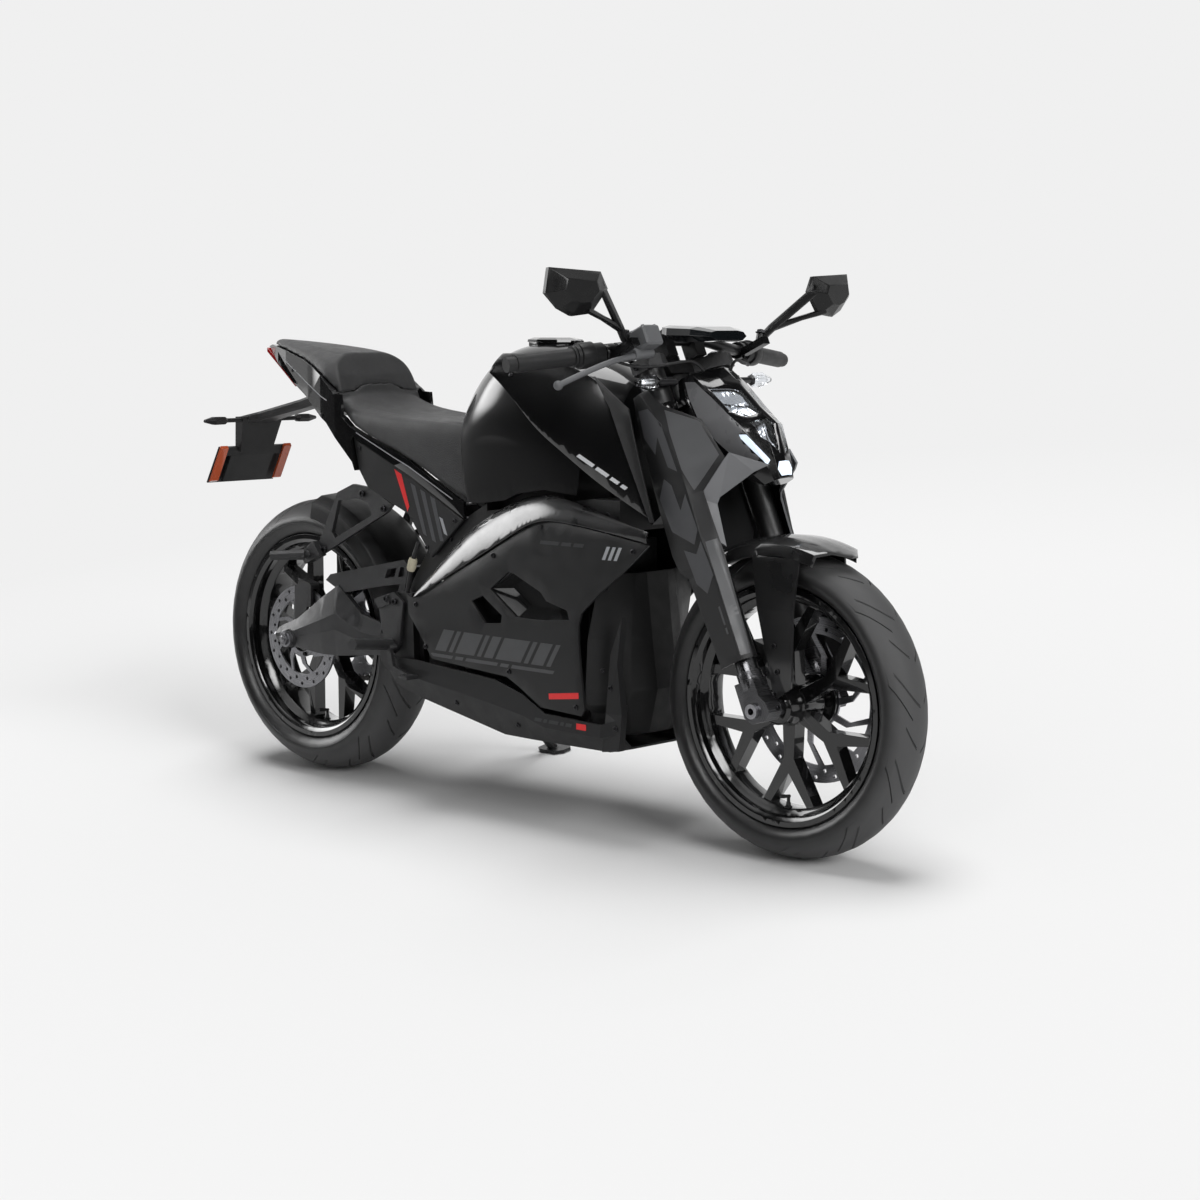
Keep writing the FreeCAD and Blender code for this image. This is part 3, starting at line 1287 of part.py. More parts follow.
def rider_seat():
    """Low saddle that sweeps up to the pillion's step, with side flaps, open below for the subframe."""
    tops = (
        ((0, 802), (40, 802), (84, 799), (106, 762), (118,)),
        ((0, 799), (48, 799), (100, 806), (116, 768), (121,)),
        ((0, 797), (56, 797), (112, 808), (125, 776), (126,)),
        ((0, 800), (60, 800), (119, 812), (131, 782), (130,)),
        ((0, 804), (62, 805), (123, 816), (134, 792), (131,)),
        ((0, 812), (62, 812), (123, 824), (135, 800), (130,)),
        ((0, 820), (60, 821), (119, 830), (130, 810), (126,)),
        ((0, 831), (56, 832), (112, 840), (122, 822), (121,)),
        ((0, 849), (48, 849), (104, 848), (116, 833), (118,)),
    )
    rows = []
    for (x, low), top in zip(SADDLE_EDGE, tops):
        rows.append((x, top[:-1] + ((top[-1][0], low),)))
    rows.append((STEP_BACK, ((0, 866), (44, 864), (84, 850), (106, 838), (114, 826))))
    pad = cushion(rows)
    ahead = side_prism([(-83, 560), (-83.4, 650), (-107.4, 805.6), (-60, 860), (0, 860), (0, 560)], -200, 200)
    below = side_prism([(-60, 520), (-60, 700), (-150, 712), (-250, 740), (-340, 768), (-440, 796),
                        (-520, 832), (-520, 520)], -106, 106)
    step = pillion_whole.common(below_seam(STEP_BACK, 0))
    return fused(pad, step).cut(ahead).cut(below).cut(tank)


def pillion_seat():
    """Rear pad on the tail's deck, parted from the saddle along the seam."""
    foot = side_prism(list(PILLION_FOOT) + [(-880, 700), (STEP_BACK, 700)], -200, 200)
    return pillion_whole.cut(foot).cut(below_seam(STEP_BACK - GAP, GAP))


def tail_cowl():
    """Glossy tail under the pillion pad, with a thin band forward under the saddle."""
    deck = [(x, z - GAP) for x, z in reversed(PILLION_FOOT[:-1])]
    band = [(x, z - 3) for x, z in reversed(SADDLE_EDGE[1:-1])]
    low = [(-98, 640), (-98, 606), (-252, 686), (-440, 768), (-427, 691), (-435, 709), (-475, 745),
           (-524, 790), (-644, 856), (-790, 938), (-858, 951)]
    outline = deck + [(-494, 853.5), (-471, 852), (-468, 830), (-466, 804)] + band[1:] + low
    tray = [(-846, 949), (-816, 946), (-640, 880), (-560, 830), (-600, 800), (-650, 806), (-706, 847),
            (-740, 870), (-784, 906)]
    plan = [(-860, 0), (-854, 16), (-740, 62), (-612, 106), (-545, 127), (-490, 134), (-300, 134), (-90, 124)]
    plan = plan + [(x, -y) for x, y in reversed(plan[1:])]
    limits = plan_prism(plan, 500, 1000)
    block = fused(side_prism(outline, -140, 140).common(limits), side_prism(tray, -40, 40).common(limits))
    room = side_prism([(STEP_BACK - GAP, 900), (STEP_BACK - GAP, 821), (-466, 803.5), (-440, 787), (-400, 780),
                       (-400, 900)], -127, 127)
    slot = side_prism([(-560, 820), (-503, 822), (-466, 806), (-387, 770), (-254, 724), (-80, 640), (-80, 580),
                       (-440, 560), (-540, 740), (-560, 790)], -118, 118)
    return block.cut(room).cut(slot).cut(subframe_covers())


def subframe_covers():
    outline = [(-440, 762), (-252, 683), (-100, 603), (-196, 519), (-268, 606), (-395, 655), (-424, 694)]
    plate = side_prism(outline, 118, 126)
    plate = plate.makeChamfer(2.5, [e for e in plate.Edges if e.BoundBox.YMin > 125])
    return both_sides(plate)


def tail_lamp():
    """Red lamp bar under the tail's tip."""
    return side_prism([(-846, 948.5), (-784.3, 905.5), (-740.3, 869.5), (-747, 862), (-792, 898), (-846, 940)],
                      -30, 30)


def plate_bracket():
    """Arm down from the tail, cross head for the lamps and the plate's carrier."""
    arm = beam([((-640, 0, 846), 62, 26), ((-740, 0, 822), 54, 22), ((-880, 0, 792), 66, 20), ((-925, 0, 780), 110, 20)], (0, 0, 1))
    neck = loft([polygon([(-930, -58, 790), (-900, -58, 790), (-900, 58, 790), (-930, 58, 790)]),
                 polygon([(-948, -46, 712), (-928, -46, 708), (-928, 46, 708), (-948, 46, 712)])])
    carrier = side_prism([(-938, 722), (-932, 720), (-978, 638), (-984, 640)], -62, 62)
    ears = side_prism([(-938, 722), (-932, 720), (-940, 700), (-948, 704)], -81.2, 81.2)
    return fused(arm, neck, carrier, ears).cut(tail).cut(number_plate())


def number_plate():
    return side_prism([(-945, 722), (-942, 720.5), (-990, 636.5), (-993, 638)], -97, 97)


def rear_reflectors():
    return both_sides(side_prism([(-930, 724), (-926, 718), (-968, 642), (-976, 640)], 81.5, 103))


def rear_indicators():
    lamp = indicator(26, 18)
    lamp.translate(Vector(-909, 100, 783))
    stalk = rod((-909, 58.3, 783), (-909, 106, 783), 5)
    return both_sides(fused(lamp, stalk))


def pillion_hangers():
    """Cast hangers with a long hole, and folding pegs at their ends."""
    outline = [(-503, 640), (-452, 660), (-394, 655), (-326, 622), (-345, 604), (-530, 514), (-560, 500), (-572, 520)]
    hole = [(-500, 622), (-440, 630), (-404, 622), (-392, 596), (-512, 540), (-524, 552)]
    plate = side_prism(outline, 108, 117.5).cut(side_prism(hole, 50, 200))
    fork = side_prism([(-572, 530), (-548, 500), (-600, 478), (-616, 500)], 112, 132)
    peg = beam([((-590, 140, 500), 26, 22), ((-640, 196, 498), 22, 18)], (0, 0, 1))
    link = rod((-588, 120, 500), (-592, 144, 500), 8)
    return both_sides(fused(plate, fork, peg, link))


def rider_footrests():
    """Hangers with pegs, and the brake pedal on the right one."""
    hanger = side_prism([(-352, 424), (-300, 440), (-270, 420), (-284, 330), (-304, 308), (-328, 312)], 131.3, 139)
    peg = rod((-309, 138, 327), (-292, 262, 341), 12)
    guard = side_prism([(-360, 420), (-318, 432), (-310, 414), (-346, 402)], 136, 142)
    left = fused(hanger, peg, guard)
    pivot = rod((-300, 134, 322), (-300, 158, 322), 9)
    lever = side_prism([(-308, 324), (-293, 324), (-286, 286), (-240, 272), (-240, 261), (-296, 276)], 148, 156)
    pad = Part.makeBox(28, 32, 8, Vector(-246, 146, 264))
    return Part.makeCompound([left, mirrored(fused(left, pivot, lever, pad))])


def sprocket_cover():
    """Round cover on the left, outside the drive sprocket and inside the frame's plate."""
    cover = rod((MOTOR_AT.x, 95.5, MOTOR_AT.z), (MOTOR_AT.x, 99.7, MOTOR_AT.z), 62)
    hub = rod((MOTOR_AT.x, size("motor_half_width") + GAP, MOTOR_AT.z), (MOTOR_AT.x, 96, MOTOR_AT.z), 14)
    return fused(cover, hub)


def wiring_lead():
    """The lead to the motor, with its pale connector."""
    lead = pipe([(-236, -124, 548), (-250, -125, 520), (-262, -125, 484), (-279, -122, 436)], 5)
    plug = rod((-252, -125, 514), (-261, -125, 486), 10)
    plates_top = Part.makeBox(90, 90, 30, Vector(-320, -160, 410 + GAP))
    return fused(lead, plug).cut(plates_top)


arm_shape = swing_arm()
tank = tank_cover()
pillion_whole = pillion_block()
saddle = rider_seat()
pillion = pillion_seat()
tail = tail_cowl()
feature("swing_arm", arm_shape)
feature("rear_hugger", hugger())
feature("rear_shock", rear_shock())
feature("drive_chain", chain_loop())
feature("sprocket_cover", sprocket_cover())
feature("rear_caliper", rear_caliper(), REAR_WHEEL)
feature("side_covers", side_covers())
feature("shoulder_covers", shoulder_covers())
feature("belly_cowl", belly_cowl())
feature("front_cowl", front_cowl())
feature("tank_cover", tank)
feature("tank_shrouds", tank_shrouds())
feature("shroud_strips", shroud_strips())
feature("charge_lid", charge_lid())
feature("rider_seat", saddle)
feature("pillion_seat", pillion)
feature("tail_cowl", tail)
feature("subframe_covers", subframe_covers())
feature("tail_lamp", tail_lamp())
feature("plate_bracket", plate_bracket())
feature("number_plate", number_plate())
feature("rear_reflectors", rear_reflectors())
feature("rear_indicators", rear_indicators())
feature("pillion_footrests", pillion_hangers())
feature("rider_footrests", rider_footrests())
feature("wiring_lead", wiring_lead())


# Stand the bike on its side stand and move it to the middle of its box

doc.recompute()
for made, frame_of in pieces:
    made.Placement = LEANED.multiply(frame_of).multiply(made.Placement)
doc.recompute()
lows, highs = [1e9] * 3, [-1e9] * 3
for made, _ in pieces:
    if made.Shape.isNull() or not made.Shape.Solids or not made.Shape.isValid():
        raise RuntimeError(f"{made.Label} has no valid shape")
for made, _ in pieces:
    box = made.Shape.optimalBoundingBox(False, False)
    lows = [min(a, b) for a, b in zip(lows, (box.XMin, box.YMin, box.ZMin))]
    highs = [max(a, b) for a, b in zip(highs, (box.XMax, box.YMax, box.ZMax))]
SHIFT = Placement(Vector(-(lows[0] + highs[0]) / 2, -(lows[1] + highs[1]) / 2, -lows[2]), Rotation())
for made, _ in pieces:
    made.Placement = SHIFT.multiply(made.Placement)
doc.recompute()
print("shift", tuple(round(value, 4) for value in SHIFT.Base))

for made in doc.Objects:
    if "Invalid" in made.State or "Error" in made.State:
        raise RuntimeError(f"{made.Label} failed: {made.State}")
for made, _ in pieces:
    made.Shape.exportStep(f"parts/{made.Label}.step")
print("pieces", len(pieces))
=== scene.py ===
"""Looks of the sport bike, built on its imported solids.

Pieces are drawn in the upright design frame of the CAD model, in millimetres (X forward, Y to the
rider's left, Z up, origin on the ground between the axles), and placed by matrices into the frame's
metres. The fork frame has its origin at the front axle and its Z axis along the fork legs.
"""
import cmath
import json
import math

import bmesh
import bpy
from mathutils import Matrix, Vector
from mathutils.bvhtree import BVHTree
from mathutils.geometry import delaunay_2d_cdt


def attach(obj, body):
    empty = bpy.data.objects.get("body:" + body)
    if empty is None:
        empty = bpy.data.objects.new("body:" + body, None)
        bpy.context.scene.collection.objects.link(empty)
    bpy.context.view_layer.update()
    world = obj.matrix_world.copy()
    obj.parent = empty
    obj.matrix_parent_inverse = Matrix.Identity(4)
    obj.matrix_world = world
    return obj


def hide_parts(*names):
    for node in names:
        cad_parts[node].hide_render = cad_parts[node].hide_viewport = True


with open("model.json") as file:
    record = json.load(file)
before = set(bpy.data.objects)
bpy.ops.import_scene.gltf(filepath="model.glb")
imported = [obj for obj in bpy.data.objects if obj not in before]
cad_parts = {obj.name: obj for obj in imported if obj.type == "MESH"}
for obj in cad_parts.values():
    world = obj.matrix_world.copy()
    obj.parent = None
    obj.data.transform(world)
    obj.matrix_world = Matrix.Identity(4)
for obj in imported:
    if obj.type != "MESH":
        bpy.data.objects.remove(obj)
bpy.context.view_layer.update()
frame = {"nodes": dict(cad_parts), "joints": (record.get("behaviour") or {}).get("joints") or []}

NODES = frame["nodes"]
JOINTS = {joint["name"]: joint for joint in frame["joints"]}

# Main sizes of the CAD model, in millimetres and degrees
WHEELBASE = 1340
RAKE = math.radians(24)
FRONT_RADIUS, REAR_RADIUS = 293, 306
BEAD_SEAT, LIP_HEIGHT = 216.3, 13
LEG_OFFSET = 98
PIVOT_NUT = (-318, -131, 318)
MOTOR_SHAFT = (-225, 330)

RIGHT, LEFT, UP, AHEAD, BACK = (0, -1, 0), (0, 1, 0), (0, 0, 1), (1, 0, 0), (-1, 0, 0)
SIDES = (-1, 1)


# Frames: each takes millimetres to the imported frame's metres

def design_frame():
    """The leaning bike's own frame, worked out from the two wheels' axles."""
    front = Vector(JOINTS["front_wheel"]["pos_m"])
    ahead = Vector(AHEAD)
    left = Vector(JOINTS["front_wheel"]["axis"]).normalized()
    up = ahead.cross(left)
    origin = front - ahead * (WHEELBASE / 2000) - up * (FRONT_RADIUS / 1000)
    turn = Matrix((ahead, left, up)).transposed().to_4x4()
    return Matrix.Translation(origin) @ turn @ Matrix.Scale(0.001, 4)


DESIGN = design_frame()
FRONT_WHEEL = DESIGN @ Matrix.Translation((WHEELBASE / 2, 0, FRONT_RADIUS))
REAR_WHEEL = DESIGN @ Matrix.Translation((-WHEELBASE / 2, 0, REAR_RADIUS))
FORK = FRONT_WHEEL @ Matrix.Rotation(-RAKE, 4, "Y")


def design_axis(axis):
    """An axis of the design frame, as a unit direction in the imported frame."""
    return (DESIGN.to_3x3() @ Vector(axis)).normalized()


# Shader helpers

def adjusted(target, **settings):
    """Sets attributes of something of Blender's and returns it."""
    for key, value in settings.items():
        setattr(target, key, value)
    return target


class ShaderTree:
    """A node tree under construction, with short names for what the finishes and the world need."""

    def __init__(self, tree):
        self.tree = tree

    def link(self, source, target):
        self.tree.links.new(source, target)

    def output(self, kind, name, inputs, **settings):
        """A new node's output; each input, by name or place, is linked or set to a plain value."""
        made = adjusted(self.tree.nodes.new(kind), **settings)
        for key, value in inputs.items():
            if isinstance(value, bpy.types.NodeSocket):
                self.link(value, made.inputs[key])
            else:
                made.inputs[key].default_value = value
        return made.outputs[name]

    def outputs(self, kind):
        return self.tree.nodes.new(kind).outputs

    def maths(self, operation, *values):
        return self.output("ShaderNodeMath", "Value", dict(enumerate(values)), operation=operation)

    def vector_maths(self, operation, name, *values):
        return self.output("ShaderNodeVectorMath", name, dict(enumerate(values)), operation=operation)

    def dot(self, value, direction):
        return self.vector_maths("DOT_PRODUCT", "Value", value, direction)

    def length(self, value):
        return self.vector_maths("LENGTH", "Value", value)

    def ranged(self, value, low, high, from_low=0.3, from_high=0.7, **settings):
        """Takes one range to another; noise is mostly from 0.3 to 0.7."""
        inputs = {"Value": value, "From Min": from_low, "From Max": from_high, "To Min": low, "To Max": high}
        return self.output("ShaderNodeMapRange", "Result", inputs, **settings)

    def mixed(self, share, first, second):
        return self.output("ShaderNodeMixShader", "Shader", {0: share, 1: first, 2: second})

    def background(self, color, strength=1.0):
        return self.output("ShaderNodeBackground", "Background", {"Color": color, "Strength": strength})


class Finish(ShaderTree):
    """A material under construction, whose textures lie in the object's metres."""

    def __init__(self, name, color, roughness, **sockets):
        self.material = bpy.data.materials.new(name)
        self.material.use_nodes = True
        super().__init__(self.material.node_tree)
        self.shader = self.tree.nodes["Principled BSDF"]
        self.shader.inputs["Base Color"].default_value = (*color, 1)
        self.shader.inputs["Roughness"].default_value = roughness
        for socket, value in sockets.items():
            self.shader.inputs[socket.replace("_", " ")].default_value = value
        self.where = self.outputs("ShaderNodeTexCoord")["Object"]

    def noise(self, scale, detail, stretch=None):
        """Noise whose stretch squeezes it along axes, for grain with a direction."""
        where = self.where
        if stretch:
            where = self.output("ShaderNodeMapping", "Vector", {"Scale": stretch, "Vector": where})
        return self.output("ShaderNodeTexNoise", "Fac", {"Scale": scale, "Detail": detail, "Vector": where})

    def cells(self, scale):
        return self.output("ShaderNodeTexVoronoi", "Distance", {"Scale": scale, "Vector": self.where}, feature="F1")

    def vary_color(self, value, dark, light):
        """Base colour between two, by a value that is mostly from 0.3 to 0.7."""
        ramp = self.tree.nodes.new("ShaderNodeValToRGB")
        for element, position, color in zip(ramp.color_ramp.elements, (0.3, 0.7), (dark, light)):
            adjusted(element, position=position, color=(*color, 1))
        self.link(value, ramp.inputs["Fac"])
        self.link(ramp.outputs["Color"], self.shader.inputs["Base Color"])

    def vary_roughness(self, value, low, high):
        self.link(self.ranged(value, low, high), self.shader.inputs["Roughness"])

    def bump(self, value, depth, after=None):
        """Raises the surface by a value times depth, on top of an earlier bump."""
        inputs = {"Height": value, "Distance": depth, "Strength": 1.0}
        if after:
            inputs["Normal"] = after
        raised = self.output("ShaderNodeBump", "Normal", inputs)
        self.link(raised, self.shader.inputs["Normal"])
        return raised

    def surface(self, shader):
        self.link(shader, self.tree.nodes["Material Output"].inputs["Surface"])


# Finishes

# In metres: the heights where the knees' wear ends, and how far out the indicators' stalks reach
KNEE_HEIGHTS = (0.76, 0.83)
STALK_REACH = 0.139


def gloss_paint(name, color, dust=0.02):
    """Clear-coated paint with a faint orange peel and a trace of dust."""
    made = Finish(name, color, 0.2, Specular_IOR_Level=0.2, Coat_Weight=1.0, Coat_Roughness=0.04, Coat_IOR=1.45)
    made.vary_roughness(made.noise(9, 5), 0.16, 0.16 + 4 * dust)
    made.bump(made.noise(260, 1), 0.00001)
    return made.material


def tank_paint(name, color):
    """The gloss paint, dulled low on the flanks where the knees rub it."""
    made = Finish(name, color, 0.3, Specular_IOR_Level=0.12, Coat_Roughness=0.05, Coat_IOR=1.45)
    up = design_axis(UP)
    ground = DESIGN.translation.dot(up)
    dull, shiny = (ground + height for height in KNEE_HEIGHTS)
    made.link(made.ranged(made.dot(made.where, up), 0, 1, dull, shiny), made.shader.inputs["Coat Weight"])
    made.vary_roughness(made.noise(9, 5), 0.3, 0.42)
    made.bump(made.noise(260, 1), 0.00001)
    return made.material


def moulded_plastic(name, color, roughness=0.46, grain=0.00008, scale=2600):
    """Matte moulding with a fine spark-eroded grain and slight unevenness."""
    made = Finish(name, color, roughness, Specular_IOR_Level=0.27)
    made.vary_color(made.noise(7, 4), color, [c * 1.18 + 0.001 for c in color])
    made.vary_roughness(made.noise(34, 5), roughness - 0.05, roughness + 0.07)
    made.bump(made.noise(scale, 2), grain)
    return made.material


def cast_metal(name, color, roughness=0.42, grain=0.00018):
    """Powder-coated casting: fine pebbles over a slightly uneven skin."""
    made = Finish(name, color, roughness, Metallic=0.25)
    made.vary_color(made.noise(22, 5), color, [c * 1.3 for c in color])
    made.vary_roughness(made.noise(55, 4), roughness - 0.06, roughness + 0.1)
    skin = made.bump(made.noise(60, 2), 0.00025)
    made.bump(made.cells(1500), grain, skin)
    return made.material


def brushed_metal(name, color, roughness, axle=None):
    """Bare metal with turning marks round the Y axis of a frame, or brush marks along X without one."""
    made = Finish(name, color, roughness, Metallic=1.0)
    marks = made.noise(900, 3, stretch=(0.04, 1, 1)) if axle is None else turning_marks(made, axle)
    made.vary_color(made.noise(18, 5), [c * 0.72 for c in color], color)
    made.vary_roughness(marks, roughness - 0.08, roughness + 0.12)
    made.bump(marks, 0.00003)
    return made.material


def axle_distance(made, axle):
    """How far a point is from the Y axis of a frame, in metres."""
    offset = made.vector_maths("SUBTRACT", "Vector", made.where, axle.translation)
    back = axle.inverted()
    ahead, up = (made.dot(offset, Vector(back[axis][:3]).normalized()) for axis in (0, 2))
    return made.length(made.output("ShaderNodeCombineXYZ", "Vector", {"X": ahead, "Y": up}))


def turning_marks(made, axle):
    """Rings round an axle, as a lathe leaves them."""
    inputs = {"Scale": 900, "Detail": 4, "W": axle_distance(made, axle)}
    return made.output("ShaderNodeTexNoise", "Fac", inputs, noise_dimensions="1D")


def tyre_rubber(name, axle, shoulder):
    """Dark shiny side walls, and a paler crown outside the shoulder's radius, in metres: the paler crown is a painted
    sheen, over a faint random mottle.
    """
    made = Finish(name, (0.03, 0.03, 0.031), 0.5, Specular_IOR_Level=0.4)
    # Painted sheen: the base colour turns paler on the crown outside the shoulder, standing in for light on it; the
    # noise adds a random mottle
    out = made.ranged(axle_distance(made, axle), 0, 1, shoulder - 0.006, shoulder + 0.022)
    painted_sheen_and_mottle = made.maths("MULTIPLY_ADD", made.noise(26, 5), 0.16, made.ranged(out, 0.22, 0.66, 0, 1))
    made.vary_color(painted_sheen_and_mottle, (0.012, 0.012, 0.0124), (0.06, 0.06, 0.061))
    made.vary_roughness(painted_sheen_and_mottle, 0.36, 0.62)
    made.bump(made.noise(1400, 2), 0.00012)
    return made.material


def seat_vinyl(name):
    """Grippy vinyl: small leather-like cells with a soft sheen."""
    made = Finish(name, (0.03, 0.03, 0.031), 0.52, Sheen_Weight=0.08, Specular_IOR_Level=0.36)
    made.vary_color(made.noise(14, 5), (0.014, 0.014, 0.0145), (0.022, 0.022, 0.0228))
    made.vary_roughness(made.noise(40, 4), 0.44, 0.6)
    folds = made.bump(made.noise(38, 3), 0.0005)
    made.bump(made.cells(720), 0.0004, folds)
    return made.material


def clear_plastic(name):
    made = Finish(name, (0.96, 0.98, 1.0), 0.03, Transmission_Weight=1.0, IOR=1.35)
    made.vary_roughness(made.noise(30, 3), 0.03, 0.08)
    made.bump(made.noise(160, 1), 0.00004)
    return made.material


def indicator_plastic(name):
    """Clear plastic on the pods, and black moulding on the stalks and clamps nearer the middle."""
    made = Finish(name, (0.95, 0.97, 1.0), 0.05, Transmission_Weight=1.0, IOR=1.3)
    black = made.output("ShaderNodeBsdfPrincipled", "BSDF", {"Base Color": (0.012, 0.012, 0.013, 1), "Roughness": 0.4})
    left = design_axis(LEFT)
    off_centre = made.maths("SUBTRACT", made.dot(made.where, left), DESIGN.translation.dot(left))
    outside = made.maths("GREATER_THAN", made.maths("ABSOLUTE", off_centre), STALK_REACH)
    made.surface(made.mixed(outside, black, made.shader.outputs["BSDF"]))
    made.bump(made.noise(900, 1, stretch=(1, 0.05, 1)), 0.00015)
    return made.material


def lamp_plastic(name, color, strength):
    """A lit light guide: a soft glow with faint optic ribs."""
    made = Finish(name, (0.85, 0.9, 0.98), 0.18, Emission_Color=(*color, 1), Emission_Strength=strength)
    made.bump(made.noise(700, 1, stretch=(1, 1, 0.05)), 0.0002)
    return made.material


def chrome(name, color, roughness):
    made = Finish(name, color, roughness, Metallic=1.0)
    made.vary_roughness(made.noise(45, 3), roughness, roughness + 0.1)
    made.bump(made.noise(220, 2), 0.00006)
    return made.material


def printed(name, color):
    """Flat printed graphic film with a satin face."""
    made = Finish(name, color, 0.42, Specular_IOR_Level=0.35)
    made.vary_color(made.noise(60, 4), [c * 0.92 for c in color], color)
    made.bump(made.noise(2400, 1), 0.00003)
    return made.material


SILVER = (0.86, 0.87, 0.88)
# What makes each finish, its name and the maker's other values
FINISHES = (
    (gloss_paint, "gloss_black", (0.004, 0.004, 0.0043)),
    (gloss_paint, "gloss_mask", (0.005, 0.005, 0.0053)),
    (gloss_paint, "rim_black", (0.0045, 0.0045, 0.0048), 0.03),
    (gloss_paint, "guard_gloss", (0.011, 0.011, 0.0114), 0.14),
    (gloss_paint, "shoulder_gloss", (0.008, 0.008, 0.0084), 0.2),
    (gloss_paint, "screen", (0.004, 0.005, 0.006), 0.005),
    (gloss_paint, "lens_red", (0.3, 0.012, 0.012)),
    (gloss_paint, "amber", (0.42, 0.075, 0.025)),
    (tank_paint, "tank_black", (0.004, 0.004, 0.0043)),
    (moulded_plastic, "matte_black", (0.008, 0.008, 0.0084)),
    (moulded_plastic, "panel_grey", (0.009, 0.009, 0.0094), 0.4),
    (moulded_plastic, "shroud_dark", (0.009, 0.009, 0.0095), 0.38),
    (moulded_plastic, "wing_grey", (0.15, 0.152, 0.158), 0.36, 0.00004),
    (moulded_plastic, "reservoir_grey", (0.1, 0.102, 0.106), 0.42),
    (moulded_plastic, "lamp_surround", (0.11, 0.111, 0.115), 0.3, 0.00003),
    (moulded_plastic, "facet_grey", (0.07, 0.071, 0.074), 0.34, 0.00003),
    (moulded_plastic, "mirror_shell", (0.004, 0.004, 0.0042), 0.28, 0.00001),
    (moulded_plastic, "cowl_black", (0.0035, 0.0035, 0.0037), 0.55),
    (moulded_plastic, "plate", (0.006, 0.006, 0.0065), 0.5, 0.00003),
    (moulded_plastic, "connector", (0.4, 0.37, 0.28), 0.5, 0.00004),
    (moulded_plastic, "rubber", (0.013, 0.013, 0.0135), 0.55, 0.00015, 1500),
    (cast_metal, "cast_black", (0.013, 0.013, 0.0137)),
    (cast_metal, "arm_coat", (0.02, 0.02, 0.021), 0.38, 0.0001),
    (cast_metal, "frame_black", (0.008, 0.008, 0.0084), 0.36, 0.00008),
    (brushed_metal, "machined", (0.12, 0.12, 0.125), 0.28, FORK),
    (brushed_metal, "steel", (0.4, 0.4, 0.42), 0.34),
    (brushed_metal, "front_disc", (0.3, 0.3, 0.315), 0.3, FRONT_WHEEL),
    (brushed_metal, "rear_disc", (0.3, 0.3, 0.315), 0.3, REAR_WHEEL),
    (brushed_metal, "chain", (0.16, 0.155, 0.15), 0.45),
    (brushed_metal, "bolt", (0.22, 0.22, 0.23), 0.32),
    (brushed_metal, "bolt_black", (0.035, 0.035, 0.037), 0.36),
    (tyre_rubber, "tyre", FRONT_WHEEL, 0.257),
    (tyre_rubber, "rear_tyre", REAR_WHEEL, 0.262),
    (seat_vinyl, "seat"),
    (clear_plastic, "clear"),
    (indicator_plastic, "indicator"),
    (lamp_plastic, "lamp", (0.62, 0.8, 1.0), 0.5),
    (chrome, "mirror", SILVER, 0.015),
    (chrome, "bulb", SILVER, 0.2),
    (chrome, "reflector", (0.4, 0.41, 0.43), 0.1),
    (printed, "print_faint", (0.03, 0.031, 0.033)),
    (printed, "print_mid", (0.062, 0.063, 0.068)),
    (printed, "print_grey", (0.065, 0.066, 0.069)),
    (printed, "print_silver", (0.36, 0.37, 0.39)),
    (printed, "print_white", (0.72, 0.73, 0.75)),
    (printed, "print_red", (0.82, 0.03, 0.032)),
)
MATERIALS = {name: maker(f"{name}_finish", *values) for maker, name, *values in FINISHES}

NODE_FINISH = {
    "gloss_black": ("tank_shrouds", "tail_cowl", "charge_lid"),
    "mirror_shell": ("mirrors",),
    "guard_gloss": ("front_mudguard",),
    "shoulder_gloss": ("shoulder_covers",),
    "cowl_black": ("front_cowl",),
    "gloss_mask": ("headlamp_mask",),
    "tank_black": ("tank_cover",),
    "rim_black": ("front_rim", "rear_rim"),
    "matte_black": ("rear_hugger", "sprocket_cover", "belly_cowl", "shroud_strips",
                    "subframe_covers", "plate_bracket", "switch_housings", "rear_indicators"),
    "panel_grey": ("side_covers",),
    "shroud_dark": ("fork_shrouds",),
    "wing_grey": ("fork_wings",),
    "reservoir_grey": ("front_brake_master",),
    "cast_black": ("steering_yokes", "front_caliper", "rear_caliper", "pillion_footrests", "rider_footrests"),
    "arm_coat": ("swing_arm",),
    "frame_black": ("frame", "battery_block", "motor_block", "side_stand", "fork_outer_tubes", "handlebar"),
    "machined": ("fork_sliders",),
    "steel": ("front_axle", "rear_axle", "rear_shock", "rear_sprocket"),
    "front_disc": ("front_disc",),
    "rear_disc": ("rear_disc",),
    "chain": ("drive_chain",),
    "tyre": ("front_tyre", "rear_tyre"),
    "seat": ("rider_seat", "pillion_seat"),
    "rubber": ("grips", "wiring_lead"),
    "clear": ("headlamp_lenses",),
    "indicator": ("front_indicators",),
    "lamp": ("position_lamps",),
    "mirror": ("mirror_glass",),
    "lens_red": ("tail_lamp",),
    "amber": ("rear_reflectors",),
    "plate": ("number_plate",),
    "screen": ("dash_display",),
}


def finish_nodes():
    for finish, names in NODE_FINISH.items():
        for name in names:
            for place in NODES[name].material_slots:
                place.material = MATERIALS[finish]


# Mesh helpers: a part is a list of points and a list of faces

MERGE_DISTANCE = 2e-6  # metres


def new_object(name, data):
    made = bpy.data.objects.new(name, data)
    bpy.context.scene.collection.objects.link(made)
    return made


